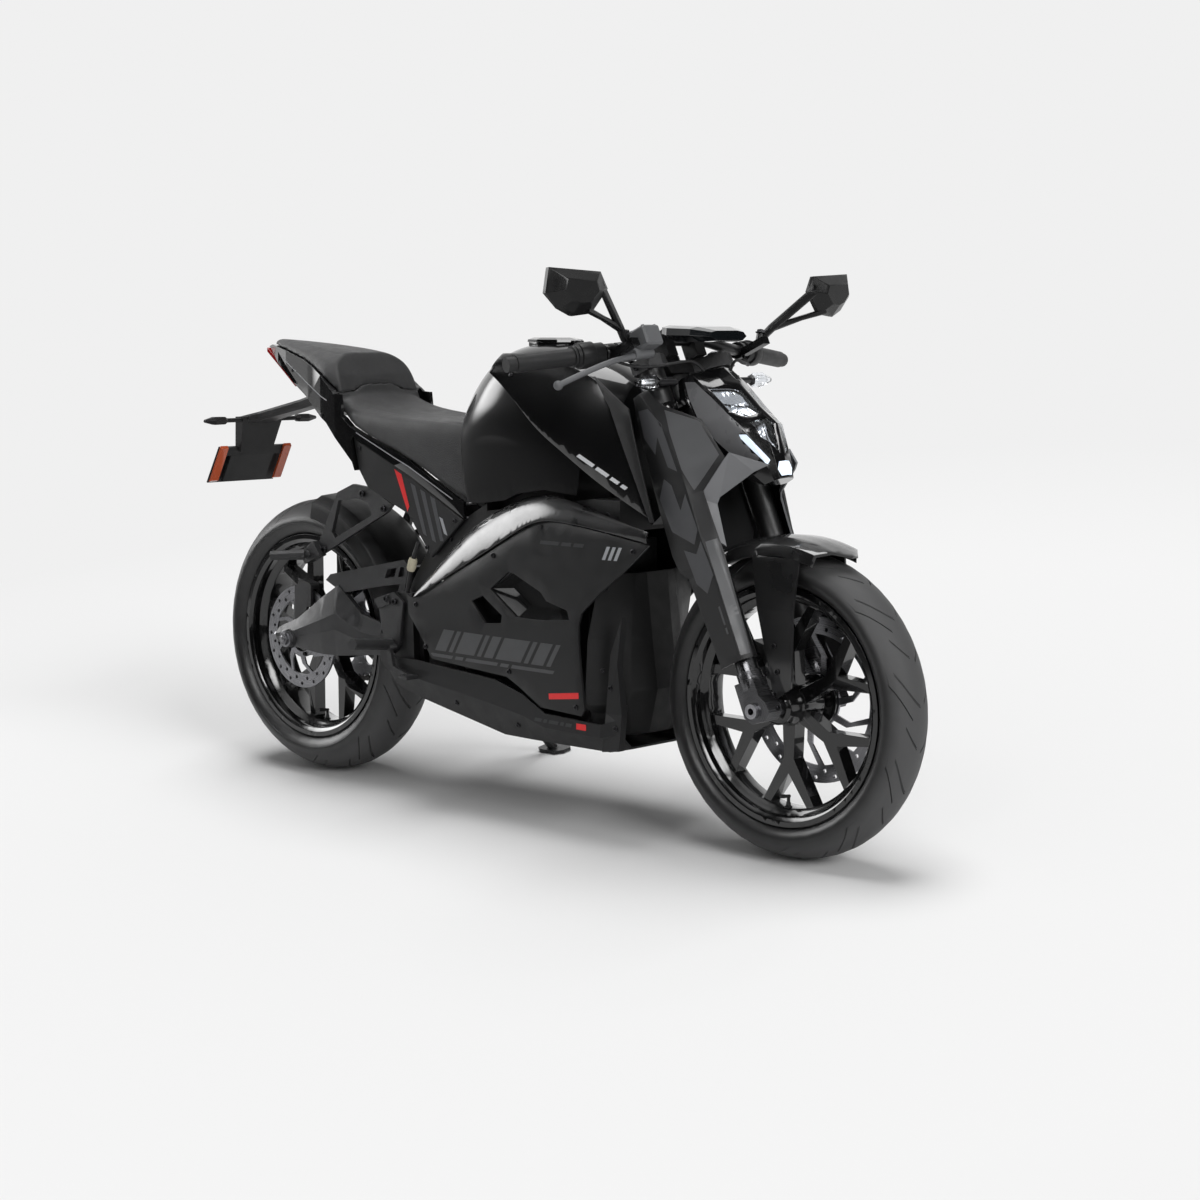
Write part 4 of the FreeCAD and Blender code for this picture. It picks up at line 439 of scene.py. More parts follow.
def mesh_piece(name, part, matrix, body, finish, angle=35):
    """A named piece from a part in a frame's millimetres, riding on a body."""
    verts, faces = part
    data = bpy.data.meshes.new(name)
    data.from_pydata([matrix @ Vector(v) for v in verts], [], faces)
    data.validate()
    cleaned = bmesh.new()
    cleaned.from_mesh(data)
    bmesh.ops.remove_doubles(cleaned, verts=cleaned.verts, dist=MERGE_DISTANCE)
    bmesh.ops.recalc_face_normals(cleaned, faces=cleaned.faces)
    cleaned.to_mesh(data)
    cleaned.free()
    data.polygons.foreach_set("use_smooth", [True] * len(data.polygons))
    data.set_sharp_from_angle(angle=math.radians(angle))
    data.materials.append(MATERIALS[finish])
    made = new_object(name, data)
    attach(made, body)
    return made


def joined(parts):
    """One part from several."""
    verts, faces = [], []
    for part_verts, part_faces in parts:
        start = len(verts)
        verts += [Vector(v) for v in part_verts]
        faces += [tuple(i + start for i in face) for face in part_faces]
    return verts, faces


def moved(part, matrix):
    verts, faces = part
    return [matrix @ Vector(v) for v in verts], faces


def towards(at, direction):
    """A matrix that stands a part's Z axis along a direction at a point."""
    turn = Vector(direction).normalized().to_track_quat("Z", "Y")
    return Matrix.Translation(Vector(at)) @ turn.to_matrix().to_4x4()


def bands(count, pairs):
    """Faces between pairs of closed rows, in a list of points where each row has the same count."""
    return [(low * count + i, low * count + (i + 1) % count, high * count + (i + 1) % count, high * count + i)
            for low, high in pairs for i in range(count)]


def row_face(count, row):
    """A face that closes one of the rows."""
    return tuple(range(row * count, (row + 1) * count))


def circle(radius, steps, height=0.0):
    angles = [2 * math.pi * i / steps for i in range(steps)]
    return [(radius * math.cos(a), radius * math.sin(a), height) for a in angles]


def turned_part(profile, steps=24):
    """A solid of revolution about Z from (radius, height) points, closed at both ends."""
    verts = [point for radius, height in profile for point in circle(radius, steps, height)]
    last = len(profile) - 1
    faces = bands(steps, [(row, row + 1) for row in range(last)])
    return verts, faces + [row_face(steps, 0), row_face(steps, last)]


def outline_block(ring, low, high):
    """A prism over a ring of (x, y) between two heights."""
    verts = [(x, y, height) for height in (low, high) for x, y in ring]
    count = len(ring)
    return verts, bands(count, [(0, 1)]) + [row_face(count, 0), row_face(count, 1)]


def side_block(ring, low, high):
    """A prism across Y over a ring of (x, z)."""
    verts, faces = outline_block(ring, low, high)
    return [(x, y, z) for x, z, y in verts], faces


# Fasteners: sockets in round heads, and hexagonal nuts

def socket_bolt(radius, height):
    """A cap head standing on z = 0, with a chamfered rim and a hexagonal socket."""
    steps, sixth = 24, math.pi / 3
    verts, faces = turned_part([(radius, 0), (radius, height * 0.8), (radius * 0.86, height)], steps)
    flat_radius = radius * 0.5 * math.cos(sixth / 2)
    socket = []
    for i in range(steps):
        angle = 2 * math.pi * i / steps
        nearest_flat = sixth * round(angle / sixth - 0.5) + sixth / 2
        reach = flat_radius / math.cos(angle - nearest_flat)
        socket.append((reach * math.cos(angle), reach * math.sin(angle)))
    verts = verts + [(x, y, level) for level in (height, height * 0.3) for x, y in socket]
    return verts, faces[:-1] + bands(steps, [(2, 3), (3, 4)]) + [row_face(steps, 4)]


def hex_nut(radius, height):
    """A nut with a washer below it and a threaded end through it."""
    hexagon = [(x, y) for x, y, _ in circle(radius, 6)]
    washer = turned_part([(radius * 1.25, 0), (radius * 1.25, height * 0.18), (radius * 1.15, height * 0.24)])
    nut = outline_block(hexagon, height * 0.24, height * 0.9)
    shoulder = outline_block([(x * 0.93, y * 0.93) for x, y in hexagon], height * 0.9, height)
    stud = turned_part([(radius * 0.5, height), (radius * 0.5, height * 1.2), (radius * 0.42, height * 1.3)])
    return joined([washer, nut, shoulder, stud])


class Fasteners:
    """Collects bolts by body and finish, so that each group becomes one piece."""

    def __init__(self):
        self.groups = {}

    def add(self, body, matrix, spots, facing, radius, height, kind=socket_bolt, finish="bolt_black"):
        for at in spots:
            placed = moved(kind(radius, height), matrix @ towards(at, facing))
            self.groups.setdefault((body, finish), []).append(placed)

    def pairs(self, body, matrix, spots, facing, *sizes):
        """Bolts on the right side and, mirrored, on the left."""
        x, y, z = facing
        self.add(body, matrix, spots, facing, *sizes)
        self.add(body, matrix, [(a, -b, c) for a, b, c in spots], (x, -y, z), *sizes)

    def build(self):
        for (body, finish), parts in self.groups.items():
            mesh_piece(f"{body}_{finish}_fasteners", joined(parts), Matrix(), body, finish)


# Surfaces that follow a CAD node

# Where rays towards a side start, and how far a film's top and bottom stand off the surface
FAR_OUT = 320
FILM_LIFT, FILM_SEAT = 0.35, 0.04


class Skin:
    """A node's surface in the millimetres of one of the frames, for laying things on it."""

    def __init__(self, node, matrix):
        back = matrix.inverted()
        data = NODES[node].data
        points = [back @ v.co for v in data.vertices]
        self.tree = BVHTree.FromPolygons(points, [tuple(p.vertices) for p in data.polygons])

    def meet(self, start, direction):
        """Where a ray first meets the surface and the normal there, or None and None."""
        point, normal, _, _ = self.tree.ray_cast(Vector(start), Vector(direction))
        return point, normal


def grid_between(low, high, cell):
    """Evenly spaced numbers, half a cell in from the low end."""
    found = []
    at = low + cell / 2
    while at < high:
        found.append(at)
        at += cell
    return found


def filled_outline(ring, cell):
    """Triangles that fill a ring of 2D points, with inner points on a grid of a cell's size."""
    border = []
    for i, corner in enumerate(ring):
        start, end = Vector(corner), Vector(ring[(i + 1) % len(ring)])
        steps = max(1, int((end - start).length / cell))
        border += [start.lerp(end, k / steps) for k in range(steps)]
    xs, ys = [p.x for p in border], [p.y for p in border]
    grid = [Vector((x, y)) for x in grid_between(min(xs), max(xs), cell) for y in grid_between(min(ys), max(ys), cell)]
    made = delaunay_2d_cdt(border + grid, [], [list(range(len(border)))], 1, 1e-4)
    return made[0], made[2]


def film(ring, cell, layers_at):
    """A thin closed film inside a ring; a function gives each point's top and bottom, or None."""
    points, triangles = filled_outline(ring, cell)
    layers = [layers_at(*point) for point in points]
    kept = [t for t in triangles if all(layers[i] for i in t)]
    used = sorted({i for t in kept for i in t})
    index = {old: new for new, old in enumerate(used)}
    verts = [layers[i][layer] for layer in (0, 1) for i in used]
    faces = [tuple(index[i] for i in t) for t in kept]
    edges = dict.fromkeys(edge for a, b, c in faces for edge in ((a, b), (b, c), (c, a)))
    count = len(used)
    walls = [(b, a, a + count, b + count) for a, b in edges if (b, a) not in edges]
    under = [tuple(i + count for i in reversed(face)) for face in faces]
    return verts, faces + walls + under


def laid_film(skin, ring, side, cell):
    """A film over a skin, inside an (x, z) ring seen from one side of the bike."""
    def layers_at(x, z):
        met, _ = skin.meet((x, side * FAR_OUT, z), (0, -side, 0))
        if met is None or met.y * side < 0:
            return None
        return (x, met.y + side * FILM_LIFT, z), (x, met.y + side * FILM_SEAT, z)

    return film(ring, cell, layers_at)


def graphic(name, node, finish, rings, body="chassis", matrix=DESIGN, cell=9.0):
    """Printed films of one colour on a node, on the right side and mirrored on the left."""
    skin = Skin(node, matrix)
    parts = [laid_film(skin, ring, side, cell) for side in SIDES for ring in rings]
    mesh_piece(name, joined([part for part in parts if part[0]]), matrix, body, finish, angle=50)


# Tyres

TYRE_WALL = 9
RIB_RISE, RIB_WIDTH, RIB_RADII, RIB_UNDER_SHOULDER = 0.7, 1.6, (232, 236), 9
TREAD_PITCHES = 11
# How far a groove sweeps back is a share of a pitch; each of its ends slopes over a share of the half width
GROOVE_DEPTH, GROOVE_SWEEP, GROOVE_END = 3.6, 0.62, 0.02
# A pitch's grooves: place in it, width, where they start and end as shares of the half width, side
GROOVES = (
    (0.10, 5.6, 0.06, 0.80, 1), (0.36, 4.2, 0.40, 0.95, 1), (0.58, 4.8, 0.14, 0.62, 1),
    (0.60, 5.6, 0.06, 0.80, -1), (0.86, 4.2, 0.40, 0.95, -1), (0.08, 4.8, 0.14, 0.62, -1),
)


def arc_points(first, middle, last, steps):
    """Points on the arc through three 2D points, shorter than half a circle, without the last."""
    a, b, c = complex(*first), complex(*middle), complex(*last)
    ratio = (c - a) / (b - a)
    centre = a + (b - a) * (ratio - abs(ratio) ** 2) / (2j * ratio.imag)
    turn = cmath.phase((c - centre) / (a - centre))
    found = [centre + (a - centre) * cmath.rect(1, turn * i / steps) for i in range(steps)]
    return [(p.real, p.imag) for p in found]


def mirrored(points):
    return [(-y, r) for y, r in reversed(points)]


def add_side_ribs(points, heights):
    """Raised rings on the right wall: each turns one step of the contour into a small square rib."""
    made = []
    for (y, r), (y2, r2) in zip(points, points[1:] + points[-1:]):
        made.append((y, r))
        for height in heights:
            if min(r, r2) < height <= max(r, r2) and abs(r - r2) > RIB_WIDTH * 2:
                share = (height - r) / (r2 - r)
                step = RIB_WIDTH / abs(r2 - r)
                for delta, lift in ((-step, 0), (-step * 0.7, RIB_RISE), (step * 0.7, RIB_RISE), (step, 0)):
                    t = share + delta
                    made.append((y + (y2 - y) * t + lift, r + (r2 - r) * t))
    return made


class Tyre:
    """A tyre on the contour of its solid, with swept grooves cut into its crown."""

    def __init__(self, radius, half, drop, bead):
        self.radius, self.half, self.drop, self.bead = radius, half, drop, bead
        self.shoulder = radius - drop
        self.reach = half - 1
        self.bow = (self.reach ** 2 + drop ** 2) / (2 * drop)
        self.pitch = 2 * math.pi * radius / TREAD_PITCHES

    def side_wall(self):
        """The right wall from the shoulder to the rim's lip, as (y, r)."""
        lip = BEAD_SEAT + LIP_HEIGHT
        middle = ((self.half + self.bead) / 2 + 6, (self.shoulder + lip) / 2 - 2)
        return arc_points((self.reach, self.shoulder), middle, (self.bead, lip), 12)

    def inner_wall(self):
        """The bead and the inside, from right to left."""
        bead, lip = self.bead, BEAD_SEAT + LIP_HEIGHT
        right = [(bead, lip), (bead, BEAD_SEAT), (bead - 1.3 * TYRE_WALL, BEAD_SEAT), (bead - 0.6 * TYRE_WALL, lip + 6),
                 (self.half - TYRE_WALL, self.shoulder - 8), (self.half - TYRE_WALL - 4, self.shoulder + 4)]
        return right + [(0, self.radius - TYRE_WALL)] + mirrored(right)

    def crown_shares(self):
        """Where the crown has rows, as shares of its half width: evenly, and at each groove's ends."""
        crown = arc_points((-self.reach, self.shoulder), (0, self.radius), (self.reach, self.shoulder), 40)
        shares = {round(y / self.reach, 4) for y, _ in crown}
        for _, _, near, far, side in GROOVES:
            shares |= {side * near, side * (near + GROOVE_END), side * far, side * (far - GROOVE_END)}
        return sorted(share for share in shares if abs(share) < 1)

    def rows(self):
        """The whole section as (y, radius, share), with a share only on the crown."""
        wall = self.side_wall()
        ribs = (self.shoulder - RIB_UNDER_SHOULDER, *RIB_RADII)
        left, right = mirrored(add_side_ribs(wall[1:], ribs)), add_side_ribs(wall, ribs)
        crown = []
        for share in self.crown_shares():
            y = share * self.reach
            crown.append((y, self.radius - self.bow + math.sqrt(self.bow ** 2 - y * y), share))
        return [(y, r, None) for y, r in left] + crown + [(y, r, None) for y, r in right + self.inner_wall()]

    def columns(self):
        """Places round the tyre, in millimetres, each with the grooves that it lies in."""
        marks = {}
        for k in range(TREAD_PITCHES):
            for index, (place, width, *_) in enumerate(GROOVES):
                middle = (k + place) * self.pitch
                for edge, inside in ((width / 2 + 0.5, False), (width / 2 - 0.2, True)):
                    for side in SIDES:
                        lying_in = marks.setdefault(round(middle + side * edge, 3), set())
                        if inside:
                            lying_in.add(index)
        return sorted(marks.items())

    def lag(self, share):
        """How far round the tyre a groove has swept at a share of the crown's half width."""
        t = 1.0 if share is None else abs(share)
        return GROOVE_SWEEP * self.pitch * (0.25 * t + 0.75 * t * t)

    def depth(self, share, grooves):
        """How deep the tyre is cut at a share of the crown, in a column with the grooves of these indices."""
        if share is None:
            return 0
        ends = [(near, far, side) for _, _, near, far, side in (GROOVES[i] for i in grooves)]
        inset = GROOVE_END * 0.75
        cut = any(near + inset < side * share < far - inset for near, far, side in ends)
        return GROOVE_DEPTH if cut else 0

    def build(self, name, node, wheel, body, finish):
        """The tread tyre's piece, which stands for a tyre's solid."""
        rows, columns = self.rows(), self.columns()
        verts = []
        for along, grooves in columns:
            for y, r, share in rows:
                angle = (along - self.lag(share)) / self.radius
                low = r - self.depth(share, grooves)
                verts.append((low * math.sin(angle), y, low * math.cos(angle)))
        faces = bands(len(rows), [(i, (i + 1) % len(columns)) for i in range(len(columns))])
        made = mesh_piece(name, (verts, faces), wheel, body, finish, angle=32)
        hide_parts(node)


def tyres():
    Tyre(FRONT_RADIUS, 55, 36, 37.7).build("front_tread_tyre", "front_tyre", FRONT_WHEEL, "front_wheel", "tyre")
    Tyre(REAR_RADIUS, 75, 44, 54.7).build("rear_tread_tyre", "rear_tyre", REAR_WHEEL, "rear_wheel", "rear_tyre")


def valve_stems():
    """A bent valve stem through each rim's well, at the bottom of the wheel."""
    low = Vector((0, -14, -196.5))
    elbow = low + Vector((0, 0, 22))
    outwards = (0, -1, 0.12)
    stem = joined([
        moved(turned_part([(7.5, 0), (7.5, 2.5), (5, 4), (4.2, 10), (3.2, 12), (3.2, 24)], 20), towards(low, UP)),
        moved(turned_part([(3.2, -3), (3.2, 15)], 20), towards(elbow, outwards)),
        moved(turned_part([(3.9, 0), (3.9, 10), (3.0, 12)], 20), towards(elbow + Vector((0, -12, 1.4)), outwards)),
    ])
    mesh_piece("front_valve", stem, FRONT_WHEEL, "front_wheel", "rubber")
    mesh_piece("rear_valve", stem, REAR_WHEEL, "rear_wheel", "rubber")


# Seats

def stuffed_copy(name, node, voxel, smooth_steps, shape):
    """A cushion that stands for a seat's solid: remeshed, softened, then shaped point by point."""
    data = NODES[node].data.copy()
    data.name = name
    made = new_object(name, data)
    adjusted(made.modifiers.new("remesh", "REMESH"), mode="VOXEL", voxel_size=voxel, use_smooth_shade=True)
    adjusted(made.modifiers.new("smooth", "SMOOTH"), factor=0.5, iterations=smooth_steps)
    applied = bpy.data.meshes.new_from_object(made.evaluated_get(bpy.context.evaluated_depsgraph_get()))
    made.modifiers.clear()
    made.data = applied
    back = DESIGN.inverted()
    normals = [v.normal.copy() for v in applied.vertices]
    for vertex, normal in zip(applied.vertices, normals):
        rise = shape(back @ vertex.co, (back.to_3x3() @ normal).normalized())
        vertex.co = vertex.co + normal * (rise / 1000)
    applied.update()
    applied.materials.clear()
    applied.materials.append(MATERIALS["seat"])
    applied.polygons.foreach_set("use_smooth", [True] * len(applied.polygons))
    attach(made, "chassis")
    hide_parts(node)


def sewn_channel(distance, depth, width, upwards):
    """How deep a seam's channel is at a distance from it, on the top only."""
    return depth * math.exp(-(distance / width) ** 2) * upwards


def saddle_shape(point, normal):
    """Sinks a sewn channel round the saddle's top and lets its middle crown a little."""
    upwards = max(0.0, normal.z)
    crowned = 0.8 * upwards * max(0, 1 - (point.y / 90) ** 2)
    sunk = sewn_channel(abs(point.y) - 92, 1.6, 3.2, upwards) if -430 < point.x < -110 else 0
    return crowned - sunk - 0.4


def pillion_shape(point, normal):
    """Sinks a sewn channel along both edges of the pillion's top, which narrows to the tail."""
    seam = 70 if point.x > -600 else 70 + (point.x + 600) * 0.27
    sunk = sewn_channel(abs(point.y) - seam, 1.2, 2.6, max(0.0, normal.z)) if -780 < point.x < -545 else 0
    return -0.4 - sunk


def seats():
    stuffed_copy("rider_cushion", "rider_seat", 0.0045, 4, saddle_shape)
    stuffed_copy("pillion_cushion", "pillion_seat", 0.004, 3, pillion_shape)


# Headlamp, in the fork frame: (y, height) outlines as in the CAD model

UPPER_LENS = ((9, 584), (9, 530), (38, 527), (54, 548), (58, 604))
LOWER_LENS = ((7, 516), (40, 514), (34, 480), (9, 444))
PROJECTORS = ((33, 553, 8.5), (22, 494, 7))
LAMP_FRONT = 400
TRAY_INSET, TRAY_CELL, TRAY_SEAT, TRAY_THICKNESS, TRAY_DEEPEST = 2.2, 2.2, 0.4, 2, 15


def ring_middle(ring):
    return sum((Vector(p) for p in ring), Vector((0, 0))) / len(ring)


def reflector(skin, ring, side, relief):
    """A chromed tray on a lamp pocket's floor, with a relief of facets."""
    def layers_at(y, z):
        met, _ = skin.meet((LAMP_FRONT, y, z), BACK)
        if met is None:
            return None
        floor = met.x + TRAY_SEAT
        return (floor + TRAY_THICKNESS + relief(abs(y), z), y, z), (floor, y, z)

    middle = ring_middle(ring)
    inset = [Vector(p) - (Vector(p) - middle).normalized() * TRAY_INSET for p in ring]
    return film([(side * y, z) for y, z in inset], TRAY_CELL, layers_at)


def upper_relief(y, z):
    """A bowl round a lamp's middle with radial flutes and a step across it."""
    dy, dz = y - 33, z - 556
    away = math.hypot(dy, dz * 0.7)
    flutes = 1.3 * abs(math.sin(4.5 * math.atan2(dz, dy)))
    step = 4.5 if dz > 0.5 * dy + 6 else 0
    return min(TRAY_DEEPEST, 0.016 * away * away + flutes * min(1, away / 10) + step)


def lower_relief(y, z):
    """A bowl with upright flutes."""
    dy, dz = y - 22, z - 492
    return min(TRAY_DEEPEST, 0.022 * (dy * dy + 0.5 * dz * dz) + 1.2 * abs(math.sin(y * 0.32)))


def projector(skin, y, z, radius):
    """A lens like a flattened ball on a tray's floor."""
    met, _ = skin.meet((LAMP_FRONT, y, z), BACK)
    ball = [(radius, 0), (radius, 4), (radius * 0.9, 7.5), (radius * 0.6, 10), (radius * 0.2, 11)]
    return moved(turned_part(ball, 28), towards((met.x + TRAY_THICKNESS, y, z), AHEAD))


def headlamp_insides():
    skin = Skin("headlamp_mask", FORK)
    trays = [reflector(skin, ring, side, relief)
             for side in SIDES for ring, relief in ((UPPER_LENS, upper_relief), (LOWER_LENS, lower_relief))]
    mesh_piece("headlamp_reflectors", joined(trays), FORK, "steering", "reflector", angle=22)
    lenses = [projector(skin, side * y, z, radius) for side in SIDES for y, z, radius in PROJECTORS]
    mesh_piece("headlamp_projectors", joined(lenses), FORK, "steering", "clear")


# Softened edges, in metres

WELD_DISTANCE, EDGE_BREAK = 1e-5, 0.0009
SHARP_ANGLE = math.radians(25)
# Replaced, thin or finely cut solids, whose edges stay as they are
PLAIN_EDGES = (
    "drive_chain", "fork_outer_tubes", "front_axle", "front_disc", "front_indicators", "front_tyre",
    "headlamp_lenses", "mirror_glass", "pillion_seat", "position_lamps", "rear_axle", "rear_disc", "rear_shock",
    "rear_sprocket", "rear_tyre", "rider_seat", "wiring_lead",
)


def soften_edges():
    """Breaks the sharp edges of moulded and cast solids, as tooling does."""
    for node in (NODES[name] for name in NODES if name not in PLAIN_EDGES):
        adjusted(node.modifiers.new("weld", "WELD"), merge_threshold=WELD_DISTANCE)
        adjusted(node.modifiers.new("edge_break", "BEVEL"), width=EDGE_BREAK, segments=2, limit_method="ANGLE",
                 angle_limit=SHARP_ANGLE, harden_normals=True, miter_outer="MITER_ARC")


# Dark linings that show through the openings

VENTS = (
    ((9, 472), (62, 510), (77, 508), (154, 477), (171, 460), (228, 446), (233, 428), (160, 421), (85, 421)),
    ((-47, 443), (-14, 456), (43, 421), (41, 405), (-6, 400)),
)
# A vent duct's rings: how much of the opening's size, the shift back and up, and the place across
DUCT_RINGS = ((1.06, (0, 0), 148.0), (1.0, (0, 0), 148.4), (0.62, (-10, 6), 122), (0.66, (-10, 6), 119.5))
# The tray lies between two distances from the middle, and the guard between two places along the fork's X
TANK_TRAY = ((-120, 640), (-60, 716), (240, 764), (262, 720), (262, 644), (90, 620), (-60, 606))
FORK_GUARD = ((-72, 536), (72, 536), (84, 440), (84, 400), (78, 350), (58, 321), (-58, 321), (-78, 350),
              (-84, 400), (-84, 440))
TRAY_INSIDE, TRAY_OUTSIDE = 70, 73
GUARD_BACK, GUARD_FRONT = -29, -25


def vent_duct(ring, side):
    """A tray behind one vent, whose walls slope in to a floor set back and up."""
    middle = ring_middle(ring)
    verts = []
    for size, shift, y in DUCT_RINGS:
        grown = [middle + Vector(shift) + (Vector(p) - middle) * size for p in ring]
        verts += [(p.x, side * y, p.y) for p in grown]
    count = len(ring)
    return verts, bands(count, [(0, 1), (1, 2), (3, 0)]) + [row_face(count, 2), row_face(count, 3)]


def linings():
    """Ducts in the side vents, a tray under the tank and a guard between the fork legs."""
    ducts = joined([vent_duct(ring, side) for ring in VENTS for side in SIDES])
    mesh_piece("side_vent_ducts", ducts, DESIGN, "chassis", "rim_black", angle=20)
    trays = joined([side_block(TANK_TRAY, side * TRAY_INSIDE, side * TRAY_OUTSIDE) for side in SIDES])
    mesh_piece("under_tank_tray", trays, DESIGN, "chassis", "matte_black")
    flat, faces = outline_block(FORK_GUARD, GUARD_BACK, GUARD_FRONT)
    guard = [(n, y, z) for y, z, n in flat], faces
    mesh_piece("fork_inner_guard", guard, FORK, "steering", "matte_black")


# Printed graphics, as (x, z) rings in the frame named

FORK_BLOCKS = (
    ((-36, 612), (-8, 606), (14, 566), (16, 470), (-4, 486), (-6, 548), (-26, 520), (-42, 560)),
    ((-24, 470), (-10, 452), (-8, 400), (18, 424), (19, 352), (-2, 330), (-48, 372), (-52, 440)),
    ((-34, 330), (-6, 312), (17, 330), (18, 262), (-12, 236), (-32, 262)),
)
FORK_FACETS = (
    ((25, 590), (80, 545), (96, 470), (36, 424), (27, 470)),
    ((24, 326), (40, 326), (29, 104), (19, 104)),
)
LAMP_SIDE_PANEL = ((46, 636), (66, 628), (90, 588), (112, 545), (134, 502), (144, 450), (122, 434), (100, 452),
                   (80, 500), (62, 545), (52, 600))
SUBFRAME_BARS = (((-258, 672), (-220, 568)), ((-228, 660), (-192, 556)), ((-198, 648), (-168, 556)))


def slanted_row(start, end, height, lean, widths, gap):
    """Slanted dashes along a line, from their widths in order."""
    start, end = Vector(start), Vector(end)
    along = (end - start).normalized()
    up = Vector((-along.y, along.x))
    rings, at = [], 0.0
    for width in widths:
        foot = start + along * at
        head = foot + up * height + along * lean
        rings.append((foot, foot + along * width, head + along * width, head))
        at += width + gap
    return rings


def strip_ring(points, width):
    """The outline of a strip of constant width along an open (x, z) line."""
    lines = [Vector(p) for p in points]
    left, right = [], []
    for i, point in enumerate(lines):
        along = (lines[min(i + 1, len(lines) - 1)] - lines[max(i - 1, 0)]).normalized()
        out = Vector((-along.y, along.x)) * (width / 2)
        left.append(point + out)
        right.append(point - out)
    return left + right[::-1]


def side_graphics():
    slabs = slanted_row((-166, 330), (200, 330), 46, 30, (34, 12, 58, 12, 26, 74, 12, 34, 12), 9)
    under_slabs = slanted_row((-184, 316), (214, 316), 7, 5, (70, 24, 96, 24, 120), 9)
    graphic("side_banner", "side_covers", "print_grey", slabs + under_slabs)
    graphic("side_marks", "side_covers", "print_silver", slanted_row((318, 552), (360, 552), 26, 12, (8, 8, 8), 7))
    graphic("side_red_bar", "side_covers", "print_red", [((172, 276), (254, 286), (254, 274), (172, 264))])
    graphic("side_small_print", "side_covers", "print_faint",
            slanted_row((150, 572), (290, 572), 7, 3, (52, 26, 26), 7))


def belly_graphics():
    graphic("belly_red_tag", "belly_cowl", "print_red", [((236, 222), (262, 222), (262, 210), (236, 210))])
    graphic("belly_small_print", "belly_cowl", "print_faint",
            slanted_row((120, 214), (226, 212), 7, 3, (20, 10, 26, 10, 16), 5))


def tank_graphics():
    graphic("tank_dashes", "tank_shrouds", "print_white",
            slanted_row((250, 748), (392, 682), 8, 5, (46, 34, 22, 14), 8), cell=7)


def subframe_graphics():
    graphic("subframe_red", "subframe_covers", "print_red", [((-308, 699), (-286, 689), (-262, 622), (-268, 612))])
    bars = [(top, (top[0] + 15, top[1] - 6), (foot[0] + 12, foot[1] - 5), foot) for top, foot in SUBFRAME_BARS]
    graphic("subframe_bars", "subframe_covers", "print_mid", bars)
    graphic("subframe_slab", "subframe_covers", "print_silver", [((-170, 606), (-160, 602), (-146, 568), (-156, 572))])


def tail_graphics():
    upper = strip_ring([(-770, 930), (-600, 868), (-520, 838)], 2.2)
    lower = strip_ring([(-420, 772), (-256, 706), (-130, 644)], 2.0)
    graphic("tail_lines", "tail_cowl", "print_silver", [upper, lower], cell=12)


def fork_graphics():
    graphic("fork_facets", "fork_shrouds", "facet_grey", FORK_FACETS, "steering", FORK)
    graphic("lamp_side_panels", "headlamp_mask", "lamp_surround", [LAMP_SIDE_PANEL], "steering", FORK, cell=7)
    graphic("fork_blocks", "fork_shrouds", "print_mid", FORK_BLOCKS, "steering", FORK)
    ticks = [((4, z), (9, z), (9, z + height), (4, z + height)) for z, height in ((150, 12), (168, 36))]
    graphic("fork_ticks", "fork_shrouds", "print_grey", ticks, "steering", FORK)


# Bolts and screws

# For each panel: the screws' (x, z) spots, and a screw's radius and height
COVER_SCREWS = (
    ("side_covers", ((-226, 420), (-196, 334), (60, 308), (246, 256), (396, 572), (16, 540)), 5.5, 2.6),
    ("belly_cowl", ((-292, 276), (-120, 222), (60, 196), (322, 300), (336, 222)), 5.5, 2.6),
    ("subframe_covers", ((-420, 738), (-124, 600), (-208, 540)), 4.6, 2.4),
    ("tank_shrouds", ((60, 902), (424, 668)), 4.2, 2.0),
    ("tail_cowl", ((-540, 806), (-700, 900)), 4.2, 2.0),
    ("front_cowl", ((300, 492), (290, 330)), 5.0, 2.4),
)


def spots_at(y, *spots):
    """Points from (x, z) spots at one distance across the bike."""
    return [(x, y, z) for x, z in spots]


def ring_of_spots(radius, y, count, first=0.0, centre=(0, 0)):
    """Spots evenly round a centre, the first at an angle in degrees."""
    turned = [math.radians(first) + 2 * math.pi * i / count for i in range(count)]
    return [(centre[0] + radius * math.cos(a), y, centre[1] + radius * math.sin(a)) for a in turned]


def cover_screws(bolts):
    """Screws that hold the panels, laid on each panel's surface along its normal."""
    for node, spots, radius, height in COVER_SCREWS:
        skin = Skin(node, DESIGN)
        for x, z in spots:
            met, normal = skin.meet((x, -FAR_OUT, z), LEFT)
            if met is not None:
                facing = normal if normal.y < 0 else -normal
                bolts.pairs("chassis", DESIGN, [met], facing, radius, height)


